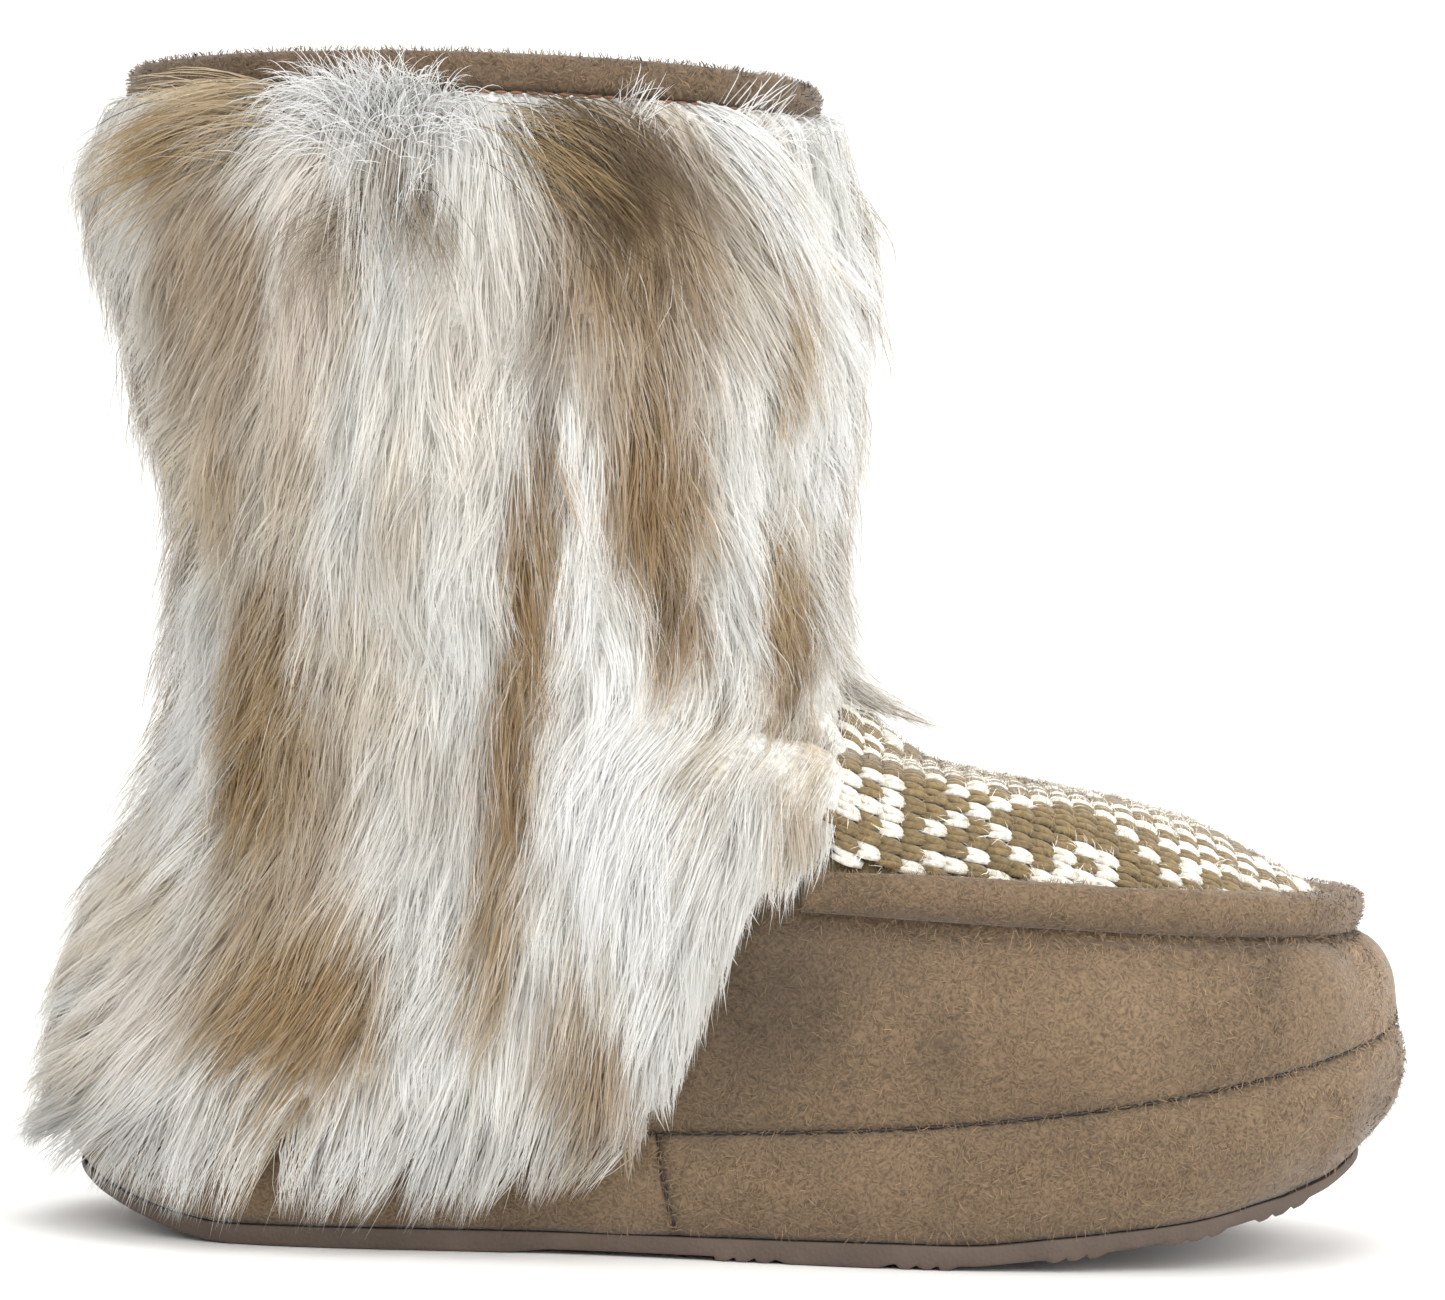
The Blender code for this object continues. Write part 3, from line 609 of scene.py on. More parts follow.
def suede_material(name):
    """Microfibre suede, brushed: short swirling nap over the cloth's own brush marks."""
    made, tree, shader = new_material(name, 0.9, sheen_weight=0.25, sheen_roughness=0.45)
    place = add_node(tree, "ShaderNodeTexCoord").outputs["Object"]
    tint = add_node(tree, "ShaderNodeAttribute", attribute_name="tint").outputs["Color"]
    swirl = add_node(tree, "ShaderNodeTexNoise", {"Vector": place, "Scale": 260, "Detail": 2})
    bent = add_node(tree, "ShaderNodeVectorMath", {0: swirl.outputs["Color"], 1: (0.005,) * 3, 2: place},
                    operation="MULTIPLY_ADD")
    nap = add_node(tree, "ShaderNodeTexNoise", {"Vector": bent.outputs[0], "Scale": 1500, "Detail": 3})
    grain = add_node(tree, "ShaderNodeValToRGB", {"Fac": nap.outputs["Fac"]},
                     ((0.30, rgb("#A6A6A6")), (0.66, rgb("#FFFFFF"))))
    dyed = add_node(tree, "ShaderNodeMix", {0: 1.0, 6: tint, 7: grain.outputs["Color"]}, data_type="RGBA",
                    blend_type="MULTIPLY")
    tree.links.new(dyed.outputs[2], shader.inputs["Base Color"])
    bump = add_node(tree, "ShaderNodeBump", {"Height": nap.outputs["Fac"], "Strength": 0.5,
                                             "Distance": 0.0004})
    tree.links.new(bump.outputs["Normal"], shader.inputs["Normal"])
    return made


def rubber_material(name):
    """Moulded foam rubber: matte, with a fine pebble left by the mould and scuffed high spots."""
    made, tree, shader = new_material(name, 0.68)
    place = add_node(tree, "ShaderNodeTexCoord").outputs["Object"]
    pebble = add_node(tree, "ShaderNodeTexVoronoi", {"Vector": place, "Scale": 1100})
    scuff = add_node(tree, "ShaderNodeTexNoise", {"Vector": place, "Scale": 90, "Detail": 5})
    rubber = colours().rubber
    stops = ((0.3, shaded(rubber, 0.75)), (0.6, rubber), (0.8, shaded(rubber, 1.25)))
    colour = add_node(tree, "ShaderNodeValToRGB", {"Fac": scuff.outputs["Fac"]}, stops)
    tree.links.new(colour.outputs["Color"], shader.inputs["Base Color"])
    bump = add_node(tree, "ShaderNodeBump", {"Height": pebble.outputs["Distance"], "Strength": 0.35,
                                             "Distance": 0.0003})
    tree.links.new(bump.outputs["Normal"], shader.inputs["Normal"])
    return made


def tinted_material(name, roughness, size, depth, through=0.0, **constants):
    """Fibre coloured by the piece's own tint attribute, with a fine grain of a given size, and with a
    share of the light that passes through it."""
    made, tree, shader = new_material(name, roughness, **constants)
    tint = add_node(tree, "ShaderNodeAttribute", attribute_name="tint").outputs["Color"]
    if size and depth:
        place = add_node(tree, "ShaderNodeTexCoord").outputs["Object"]
        fleck = add_node(tree, "ShaderNodeTexNoise", {"Vector": place, "Scale": 0.6 / size, "Detail": 2})
        shade = add_node(tree, "ShaderNodeValToRGB", {"Fac": fleck.outputs["Fac"]},
                         ((0.32, rgb("#D2D2D2")), (0.62, rgb("#FFFFFF"))))
        flecked = add_node(tree, "ShaderNodeMix", {0: 1.0, 6: tint, 7: shade.outputs["Color"]},
                           data_type="RGBA", blend_type="MULTIPLY")
        tint = flecked.outputs[2]
    tree.links.new(tint, shader.inputs["Base Color"])
    if through:
        behind = add_node(tree, "ShaderNodeBsdfTranslucent", {"Color": tint})
        both = add_node(tree, "ShaderNodeMixShader", {0: through, 1: shader.outputs[0],
                                                      2: behind.outputs[0]})
        tree.links.new(both.outputs[0], tree.nodes["Material Output"].inputs["Surface"])
    if depth:
        place = add_node(tree, "ShaderNodeTexCoord").outputs["Object"]
        grain = add_node(tree, "ShaderNodeTexNoise", {"Vector": place, "Scale": 1 / size, "Detail": 3})
        bump = add_node(tree, "ShaderNodeBump", {"Height": grain.outputs["Fac"], "Strength": 0.8,
                                                 "Distance": depth})
        tree.links.new(bump.outputs["Normal"], shader.inputs["Normal"])
    return made


def fleece_material(name):
    """Knitted fleece: curly pile about 3 mm long in soft lumps, darker between the lumps as painted shade.
    """
    made, tree, shader = new_material(name, 0.95, sheen_weight=0.35, sheen_roughness=0.6)
    place = add_node(tree, "ShaderNodeTexCoord").outputs["Object"]
    curls = add_node(tree, "ShaderNodeTexVoronoi", {"Vector": place, "Scale": 330, "Randomness": 1.0},
                     feature="SMOOTH_F1")
    fuzz = add_node(tree, "ShaderNodeTexNoise", {"Vector": place, "Scale": 1400, "Detail": 3})
    fleece = colours().fleece
    # Painted shade: the fleece darkens towards the edge of each curl, in the hollows between them
    colour = add_node(tree, "ShaderNodeValToRGB", {"Fac": curls.outputs["Distance"]},
                      ((0.0, fleece), (0.7, shaded(fleece, 0.72))))
    tree.links.new(colour.outputs["Color"], shader.inputs["Base Color"])
    lumps = add_node(tree, "ShaderNodeBump", {"Height": curls.outputs["Distance"], "Strength": 0.8,
                                              "Distance": 0.0015}, invert=True)
    bump = add_node(tree, "ShaderNodeBump", {"Height": fuzz.outputs["Fac"], "Strength": 0.6,
                                             "Distance": 0.0005, "Normal": lumps.outputs["Normal"]})
    tree.links.new(bump.outputs["Normal"], shader.inputs["Normal"])
    return made


def thread_material(name, colour):
    """Twisted polyester thread, faintly glossy along its plies."""
    made, tree, shader = new_material(name, 0.6)
    place = add_node(tree, "ShaderNodeTexCoord").outputs["Object"]
    plies = add_node(tree, "ShaderNodeTexWave", {"Vector": place, "Scale": 700, "Distortion": 2})
    shader.inputs["Base Color"].default_value = (*colour, 1)
    bump = add_node(tree, "ShaderNodeBump", {"Height": plies.outputs["Fac"], "Strength": 0.4,
                                             "Distance": 0.0001})
    tree.links.new(bump.outputs["Normal"], shader.inputs["Normal"])
    return made


def finish_piece(name, bm, look, nodes=(), dye=None):
    """Turns the working mesh into a named piece of the bootie, dyed where it is brushed cloth, with the
    suede's marks, painted shade and painted light laid on the dye.
    """
    mesh = bpy.data.meshes.new(name)
    bm.to_mesh(mesh)
    bm.free()
    mesh.shade_smooth()
    if dye:
        set_tint(mesh, suede_tint(mesh_points(mesh), dye))
    return adopt(name, mesh, look, nodes)


def mesh_points(mesh):
    points = np.zeros(len(mesh.vertices) * 3)
    mesh.vertices.foreach_get("co", points)
    return points.reshape(-1, 3)


def adopt(name, mesh, look, nodes=()):
    mesh.materials.append(look)
    piece = bpy.data.objects.new(name, mesh)
    bpy.context.scene.collection.objects.link(piece)
    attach(piece, "root")
    if nodes:
        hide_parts(*nodes)
    return piece


def lay_grid(columns, rows, place):
    """A grid of faces laid on a surface. place takes shares across and up and gives points."""
    bm = bmesh.new()
    bmesh.ops.create_grid(bm, x_segments=columns, y_segments=rows, size=0.5)
    flat = np.array([vert.co for vert in bm.verts])
    points = place(np.clip(flat[:, 0] + 0.5, 0, 1), np.clip(flat[:, 1] + 0.5, 0, 1))
    for vert, point in zip(bm.verts, points):
        vert.co = point
    return bm


def weld(bm):
    bmesh.ops.remove_doubles(bm, verts=bm.verts, dist=1e-6)


def lay_closed(columns, rows, place):
    """A grid whose rims meet, welded into a closed piece."""
    bm = lay_grid(columns, rows, place)
    weld(bm)
    bmesh.ops.recalc_face_normals(bm, faces=bm.faces)
    return bm


def lay_shell(columns, rows, place, around):
    """A closed wall. place takes shares across and up and the wall's side, 0 outside and 1 inside.
    around says that the sheet closes on itself; a strip gets its two ends capped."""
    def walk(u, v):
        step = np.rint(v * (2 * rows + 2))
        inside = (step > rows) & (step < 2 * rows + 2)
        up = np.where(inside, 2 * rows + 1 - step, np.where(step > rows, 0, step)) / rows
        return place(u, up, inside.astype(float))

    bm = lay_grid(columns, 2 * rows + 2, walk)
    weld(bm)
    if not around:
        close_ends(bm)
    bmesh.ops.recalc_face_normals(bm, faces=bm.faces)
    return bm


def close_ends(bm):
    """Caps the open ends of a swept piece."""
    edges = [e for e in bm.edges if e.is_boundary]
    bmesh.ops.holes_fill(bm, edges=edges)
    bmesh.ops.recalc_face_normals(bm, faces=bm.faces)


# Sole and footbed


def plank_place(columns, low_inset, high_inset, low, high, lip):
    """Places for a plank: along its outline, and from the spine over the edge back to the spine."""
    def place(u, v):
        angle = np.interp(u, np.linspace(0, 1, len(columns)), columns)
        ring = v * 4
        rim = np.clip(np.minimum(ring, 4 - ring), 0, 1)
        rise = smooth(1, 3, ring)
        side = low_inset(angle) * (1 - rise) + high_inset(angle) * rise
        bow = lip * np.sin(np.clip((ring - 1) / 2, 0, 1) * math.pi)
        edge = outline(angle, side - bow)
        across = outline(-angle, side - bow)
        spine = (edge + across) / 2
        plan = spine + (edge - spine) * rim[:, None]
        z = np.where(ring < 1, low(plan[:, 0], rim), high(plan[:, 0], rim))
        side_z = low(plan[:, 0], rim) * (1 - rise) + high(plan[:, 0], rim) * rise
        z = np.where((ring >= 1) & (ring <= 3), side_z, z)
        return np.column_stack([plan, z])
    return place


def make_rubber_sole(look):
    """Thin rubber with a heel curl, toe spring and groups of saw-tooth ribs across."""
    end = 0.02
    xs = [x for x, _ in rib_stations()]
    turn = np.linspace(end, math.pi - end, 260)
    inset = tuck(turn) - SOLE_LIP
    reach = outline(turn, inset)[:, 0]
    extra = np.interp(xs, reach[::-1], turn[::-1])
    half = np.unique(np.concatenate([turn, extra]))
    columns = np.concatenate([half, 2 * math.pi - half[::-1], [2 * math.pi + end]])

    def inset_at(angle):
        return tuck(angle) - SOLE_LIP

    place = plank_place(columns, inset_at, inset_at, lambda x, rim: sole_bottom(x),
                        lambda x, rim: sole_top(x), 0.0003)
    bm = lay_closed(len(columns) - 1, 16, place)
    made = finish_piece("rubber_sole", bm, look, ("outsole",))
    made.data.set_sharp_from_angle(angle=math.radians(35))
    return made


def make_fleece_footbed(look):
    """Cushioned footbed, crowned at the rim and dished in the middle."""
    columns = np.linspace(0.0, 2 * math.pi, 181)

    def inset_at(angle):
        return BAND_THICK + tuck(angle) + 2 * GAP

    def top(x, rim):
        lumps = soft_noise(np.column_stack([x, rim * 0.05, x * 0]), 0.012, 5) * 0.0003
        return sole_top(x) + GAP + FOOTBED_THICK - FOOTBED_DISH * (1 - rim**2) + lumps - 0.0016 * rim**10

    place = plank_place(columns, inset_at, inset_at, lambda x, rim: sole_top(x) + GAP, top, 0.0)
    bm = lay_closed(180, 32, place)
    finish_piece("fleece_footbed", bm, look, ("insole",))


# Band


def band_point(angle, height, sink):
    """A point on the band's outer side at a share of its height, sunk in by sink."""
    bulge = BAND_BULGE * between(BULGE_HEIGHTS, BULGE_SHARES, height)
    plan = outline(angle, tuck(angle) * (1 - height) ** 2 - bulge + sink)
    low, high = sole_top(plan[:, 0]) + 0.5 * GAP, seam_height((1 + np.cos(angle)) / 2)
    return np.column_stack([plan, low + (high - low) * height])


def band_join_angle():
    turn = np.linspace(0.5, 2.6, 400)
    return float(np.interp(-BAND_JOIN_X, -outline(turn, np.zeros(400))[:, 0], turn))


# Soft creases of the band: angle, height share, spread along and up, depth in mm
Crease = namedtuple("Crease", "angle height wide tall depth")
BAND_CREASES = tuple(Crease(*row) for row in (
    (-0.55, 0.45, 0.05, 0.35, -0.9),
    (-0.95, 0.55, 0.06, 0.40, -0.6),
    (-0.25, 0.55, 0.05, 0.30, -0.7),
    (-0.40, 0.75, 0.06, 0.20, 0.6),
    (-1.25, 0.35, 0.06, 0.30, -0.5),
    (0.45, 0.45, 0.05, 0.35, -0.9),
    (0.90, 0.50, 0.06, 0.40, -0.7),
    (0.20, 0.50, 0.05, 0.30, -0.6),
    (1.20, 0.45, 0.06, 0.30, -0.5),
    (2.30, 0.50, 0.06, 0.35, -0.7),
    (-2.30, 0.50, 0.06, 0.35, -0.7),
))


def crease_depth(creases, angle, height):
    """Height in metres that the hand-placed creases add at an angle and height."""
    total = np.zeros(len(angle))
    for c in creases:
        along = ((angle - c.angle + math.pi) % (2 * math.pi) - math.pi) / c.wide
        up = (height - c.height) / c.tall
        total += 0.001 * c.depth * np.exp(-along**2 - up**2)
    return total


def make_band_cover(name, look, front):
    """Half of the padded band, with its edges turned in at the seams."""
    join = band_join_angle()
    slope = BAND_JOIN_LEAN / (FOOT_LENGTH / 2)
    if front:
        start, stop = -join, join
    else:
        start, stop = join, 2 * math.pi - join

    def place(u, v, inside):
        angle = start + (stop - start) * u
        nearest = np.minimum(abs(angle - start), abs(angle - stop))
        share = np.maximum(np.cos(np.clip(nearest, 0, math.pi / 2)), 0)
        angle = angle + slope * share**6 * (1 - v) * np.where(np.sin(angle) > 0, -1, 1)
        from_end = np.minimum(u, 1 - u) * (stop - start) * 0.055
        from_top = (1 - v) * 0.022
        near = np.minimum(from_end, from_top)
        sink = 0.0010 * np.clip(1 - near / 0.0013, 0, 1) ** 2
        points = band_point(angle, v, 0.0)
        puff = soft_noise(points, 0.045, 11) * 0.0004 + soft_noise(points, 0.016, 12) * 0.00018
        relief = (crease_depth(BAND_CREASES, angle, v) + puff) * smooth(0, 0.004, near)
        return band_point(angle, v, np.where(inside > 0, BAND_THICK * 0.9, sink - relief))

    bm = lay_shell(210 if front else 170, 18, place, False)
    node = "platform_cover_front" if front else "platform_cover_rear"
    finish_piece(name, bm, look, (node,), colours().suede)


# Upper, lining, roll and binding

# Troughs and ridges of the vamp: angle, row, spread, depth in mm
VAMP_CREASES = tuple(Crease(*row) for row in (
    (-0.28, 3.0, 0.07, 1.4, -0.8),
    (-0.48, 2.6, 0.07, 1.6, 0.9),
    (-0.70, 3.2, 0.08, 1.4, -0.7),
    (-0.98, 2.4, 0.10, 1.8, 0.9),
    (-1.22, 3.0, 0.06, 1.8, -1.0),
    (-0.10, 2.6, 0.06, 1.4, 0.6),
    (0.26, 3.0, 0.07, 1.4, -0.8),
    (0.50, 2.6, 0.08, 1.6, 0.9),
    (0.75, 3.1, 0.08, 1.5, -0.8),
    (1.02, 2.5, 0.10, 1.7, 0.8),
    (1.25, 3.0, 0.06, 1.8, -0.9),
))


def vamp_relief(angle, row, points):
    """Small soft height of the vamp: creases, a groove at the band's seam and one under the roll."""
    groove = -0.0009 * np.clip(1 - row / 0.25, 0, 1) ** 2
    under_roll = -0.0022 * np.exp(-((row - (ROLL_ROW - 0.80)) / 0.30) ** 2)
    fade = smooth(0.0, 0.8, row) * (1 - smooth(ROLL_ROW - 1.2, ROLL_ROW - 0.4, row))
    puff = soft_noise(points, 0.05, 21) * 0.0004
    return groove + under_roll + (crease_depth(VAMP_CREASES, angle, row) + puff) * fade


def make_suede_upper(look):
    """The vamp and the cloth under the fur, with a real wall."""
    def place(u, v, inside):
        angle, row = 2 * math.pi * u, np.interp(v, (0, 0.55, 1), (0, ROLL_ROW + 1, TOP_ROW))
        points = skin(row, angle)
        turned = (angle + math.pi) % (2 * math.pi) - math.pi
        relief = vamp_relief(turned, row, points)
        return over_skin(row, angle, np.where(inside > 0, -WALL * 0.6, relief - 0.0001))

    bm = lay_shell(200, 44, place, True)
    return finish_piece("suede_upper", bm, look, ("upper",), colours().suede)


def make_lining(look):
    """Curly fleece inside, from the footbed to the collar."""
    def place(u, v, inside):
        angle, row = 2 * math.pi * u, TOP_ROW * v
        points = skin(row, angle)
        lumps = soft_noise(points, 0.011, 31) * 0.0003 + soft_noise(points, 0.006, 32) * 0.0002
        return over_skin(row, angle, np.where(inside > 0, lumps - WALL * 1.05, -WALL * 0.66))

    bm = lay_shell(120, 34, place, True)
    return finish_piece("fleece_lining", bm, look)


def row_length(row, angle):
    """How many metres one row spans up the surface."""
    step = 0.25
    return np.linalg.norm(skin(row + step, angle) - skin(row - step, angle), axis=-1) / (2 * step)


def roll_stop():
    """The angle at which the roll runs in under the fur."""
    turn = np.linspace(0, math.pi, 721)
    return float(turn[np.argmax(fur_edge_row(turn) < ROLL_ROW + 0.8)])


def roll_taper(u):
    """The roll sinks at both of its ends, under the fur."""
    return 0.25 + 0.75 * smooth(0.0, 0.06, np.minimum(u, 1 - u))


def roll_row(angle, turn):
    """The row under a place on the roll, turn radians round its section."""
    across = 0.5 * np.sign(np.cos(turn)) * np.abs(np.cos(turn)) ** 0.8
    return ROLL_ROW + across * ROLL_WIDTH / row_length(np.full(len(angle), float(ROLL_ROW)), angle)


def make_roll(look):
    """Rolled suede seam round the knitted panel, softly gathered."""
    stop = roll_stop()

    def place(u, v):
        angle = -stop + 2 * stop * u
        turn = 2 * math.pi * v
        out = np.maximum(np.sin(turn), -0.05)
        out = np.sign(out) * np.abs(out) ** 0.75
        row = roll_row(angle, turn)
        base = skin(np.full(len(u), float(ROLL_ROW)), angle)
        swell = 1 + 0.035 * soft_noise(base, 0.013, 41) + 0.03 * soft_noise(base, 0.03, 42)
        return over_skin(row, angle, GAP + out * ROLL_HEIGHT * ROLL_FILL * swell * roll_taper(u))

    bm = lay_grid(260, 26, place)
    weld(bm)
    close_ends(bm)
    roll = finish_piece("suede_roll", bm, look, ("rolled_seam",), colours().suede)


def cuff_section(u, turn):
    """Middle of the rim's wall, its level direction out, and a place's shares of the cuff's section."""
    angle = 2 * math.pi * u
    rim = np.full(len(u), float(TOP_ROW))
    flat = unit(normal(rim, angle) * (1, 1, 0))
    across = 0.5 * np.sign(np.cos(turn)) * np.abs(np.cos(turn)) ** 0.7
    high = 0.5 + 0.5 * np.sign(np.sin(turn)) * np.abs(np.sin(turn)) ** 0.7
    return skin(rim, angle) - flat * WALL / 2, flat, across, high


def make_binding(look):
    """Padded cuff of brushed pile cloth on the collar's rim."""
    def place(u, v):
        middle, flat, across, high = cuff_section(u, 2 * math.pi * v)
        swell = 1 + 0.05 * soft_noise(middle, 0.02, 51) + 0.04 * soft_noise(middle, 0.008, 52)
        wide = flat * (across * BINDING_THICK * swell)[:, None]
        rise = GAP + high * BINDING_HEIGHT * (0.96 + 0.04 * swell)
        return middle + wide + np.outer(rise, (0, 0, 1))

    bm = lay_closed(240, 22, place)
    cuff = finish_piece("brushed_cuff", bm, look, ("collar_binding",), colours().cuff)


def make_seam_threads(look):
    """Dark thread in the seam between upper and band, and down the band's two joins."""
    thick = sizes().thread
    turn = np.linspace(-math.pi, math.pi, 1200)
    points = skin(np.zeros(len(turn)), turn) + (0, 0, GAP / 2)
    thread_run("seam_thread", look, points, normal(np.zeros(len(turn)), turn), 0.0040, thick,
               0.0005)
    join = band_join_angle()
    slope = BAND_JOIN_LEAN / (FOOT_LENGTH / 2)
    for name, side in (("join_thread_outer", -1), ("join_thread_inner", 1)):
        height = np.linspace(0.06, 0.97, 40)
        angle = side * (join - slope * (1 - height))
        points = band_point(angle, height, 0.0)
        thread_run(name, look, points, normal(np.full(40, 0.3), angle), 0.0030, thick, 0.0006)


def make_cuff_thread(look):
    """Warm brown thread that shows as a line under the cuff."""
    turn = np.linspace(-math.pi, math.pi, 1200)
    rim = np.full(len(turn), float(TOP_ROW))
    flat = unit(normal(rim, turn) * (1, 1, 0))
    points = skin(rim, turn) + flat * (BINDING_THICK - WALL) / 2
    thread_run("cuff_thread", look, points, flat, 0.0026, sizes().thread * 1.2, 0.0001)


def thread_run(name, look, points, outs, length, thick, sunk):
    """Stitches end to end along a run of points, each a small pointed bead."""
    steps = np.linalg.norm(np.diff(points, axis=0), axis=1)
    along = np.concatenate([[0], np.cumsum(steps)])
    places = np.arange(length / 2, along[-1], length * 1.18)
    seed = bmesh.new()
    bmesh.ops.create_uvsphere(seed, u_segments=6, v_segments=5, radius=0.5)
    bead = np.array([vert.co for vert in seed.verts])
    faces = [[vert.index for vert in face.verts] for face in seed.faces]
    seed.free()
    verts = []
    polys = []
    for at in places:
        middle = np.array([np.interp(at, along, points[:, k]) for k in range(3)])
        ahead = np.array([np.interp(at + 0.0005, along, points[:, k]) for k in range(3)])
        out = unit(np.array([np.interp(at, along, outs[:, k]) for k in range(3)]))
        forward = unit(ahead - middle)
        side = np.cross(out, forward)
        polys += [[i + len(verts) * len(bead) for i in face] for face in faces]
        verts.append(middle - out * sunk + bead[:, 2:3] * forward * length
                     + bead[:, :1] * side * thick + bead[:, 1:2] * out * thick)
    mesh = bpy.data.meshes.new(name)
    mesh.from_pydata(np.concatenate(verts), [], polys)
    mesh.shade_smooth()
    return adopt(name, mesh, look)


# Marks of the suede, partly brushing and partly painted shade and painted light: middle and half-size in
# mm, seen from the side, shade below or above 1
Mark = namedtuple("Mark", "x z wide high shade")
SUEDE_MARKS_AND_PAINTED_LIGHT = tuple(Mark(*row) for row in (
    # Darker beside the fur's edge on the vamp: painted shadow of the fur
    (104, 53, 15, 18, 0.52),
    (92, 34, 10, 12, 0.74),
    (94, 56, 9, 18, 0.84),
    (118, 38, 10, 10, 1.03),
    (126, 60, 12, 8, 0.86),
    (134, 44, 5, 10, 0.82),
    (147, 55, 14, 10, 1.08),
    (165, 44, 14, 10, 1.05),
    (178, 58, 16, 8, 1.10),
    (199, 60, 5, 8, 0.84),
    (208, 52, 6, 12, 1.06),
    (188, 40, 10, 6, 0.92),
    # Lighter toe: painted light
    (224, 56, 10, 14, 1.45),
    (220, 38, 8, 6, 1.12),
    (96, 24, 14, 6, 0.94),
    (112, 16, 16, 6, 1.07),
    (146, 24, 12, 6, 0.90),
    (160, 14, 14, 5, 1.05),
    (188, 24, 12, 8, 0.93),
    (210, 32, 8, 8, 1.07),
    (64, 12, 18, 6, 0.95),
))


def suede_tint(points, dye):
    """The suede's colour at a place: its dye, soft patches, and marks that are partly brushing and partly
    painted shade and painted light.
    """
    shade = 1 + 0.045 * soft_noise(points, 0.030, 91) + 0.035 * soft_noise(points, 0.011, 92)
    for m in SUEDE_MARKS_AND_PAINTED_LIGHT:
        distance = ((points[:, 0] * 1000 - m.x) / m.wide) ** 2 + ((points[:, 2] * 1000 - m.z) / m.high) ** 2
        shade *= 1 + (m.shade - 1) * np.exp(-distance**1.5)
    return np.array(dye) * shade[:, None]


def grow_nap(name, look, chance, count, place, length, width, rise):
    """Short fibres that lie in swirls over a surface, darker at the root as painted shade and lighter at
    the tip as painted light.
    place takes random shares and gives points, outward directions, colours and which of them to keep."""
    points, outs, dyes, keep = place(chance.random(count), chance.random(count))
    points, outs, dyes = points[keep], outs[keep], dyes[keep]
    count = len(points)
    turn = 2.6 * soft_noise(points, 0.018, 95) + chance.normal(0, 0.7, count)
    first = unit(np.cross(outs, np.array([0.3, 0.2, 1.0])))
    second = np.cross(outs, first)
    heading = first * np.cos(turn)[:, None] + second * np.sin(turn)[:, None]
    size = length * chance.uniform(0.6, 1.3, count)[:, None]
    lift = rise * chance.uniform(0.5, 1.4, count)[:, None]
    paths = np.stack([
        points - outs * 0.0002,
        points + heading * size * 0.45 + outs * lift * 0.8,
        points + heading * size + outs * lift,
    ], axis=1)
    tints = dyes * chance.normal(1.06, 0.30, count).clip(0.45, 1.9)[:, None]
    # Painted shade toward the root and painted light toward the tip of each fibre
    tints = tints[:, None] * np.array([0.65, 1.05, 1.30])[None, :, None]
    widths = width * chance.uniform(0.7, 1.3, count)
    return ribbons(name, look, paths, outs, widths, tints, chance, 0.5)


def vamp_places(u, v):
    angle, row = (u - 0.5) * 2 * 2.0, v * (ROLL_ROW - 0.5)
    points = skin(row, angle)
    edge = fur_edge_row(angle)
    keep = (edge > 0.01) & (row < edge + 0.3)
    return points, normal(row, angle), suede_tint(points, colours().suede), keep


def band_places(u, v):
    angle = (u - 0.5) * 2 * math.pi
    height = 0.04 + 0.94 * v
    points = band_point(angle, height, 0.0)
    flat = outline(angle, -np.ones(len(angle))) - outline(angle, np.zeros(len(angle)))
    outs = unit(np.column_stack([flat, 0.9 * (height - 0.45)]))
    return points, outs, suede_tint(points, colours().suede), points[:, 0] > 0.02


def roll_places(u, v):
    stop = roll_stop()
    angle, turn = -stop + 2 * stop * u, math.pi * v
    high = np.sin(turn) ** 0.75
    row = roll_row(angle, turn)
    out = normal(row, angle)
    up = unit(skin(row + 0.05, angle) - skin(row - 0.05, angle))
    points = over_skin(row, angle, GAP + high * ROLL_HEIGHT * ROLL_FILL * roll_taper(u))
    outs = unit(out * np.sin(turn)[:, None] + up * np.cos(turn)[:, None])
    return points, outs, suede_tint(points, colours().suede), high > 0.05


def cuff_places(u, v):
    turn = 2 * math.pi * v
    middle, flat, across, high = cuff_section(u, turn)
    rise = GAP + high * BINDING_HEIGHT
    points = middle + flat * (across * BINDING_THICK)[:, None] + np.outer(rise, (0, 0, 1))
    outs = flat * np.cos(turn)[:, None] + np.array([0, 0, 1.0]) * np.sin(turn)[:, None]
    return points, unit(outs), suede_tint(points, colours().cuff), np.sin(turn) > -0.6


def knit_places(u, v):
    along, across = 0.100 + 0.120 * u, (v - 0.5) * 0.120
    points, outs = panel_point(along, across)
    keep = ~np.isnan(points + outs).any(axis=1) & ~under_fur(points)
    i = np.rint(along / STITCH_LONG - 0.25).astype(int)
    dyes = stitch_colour(i, np.rint(across / STITCH_WIDE).astype(int))
    return points + outs * 0.0017, outs, dyes, keep


# Knitted panel


PANEL_STEP = 0.001
PANEL_HALF = 68


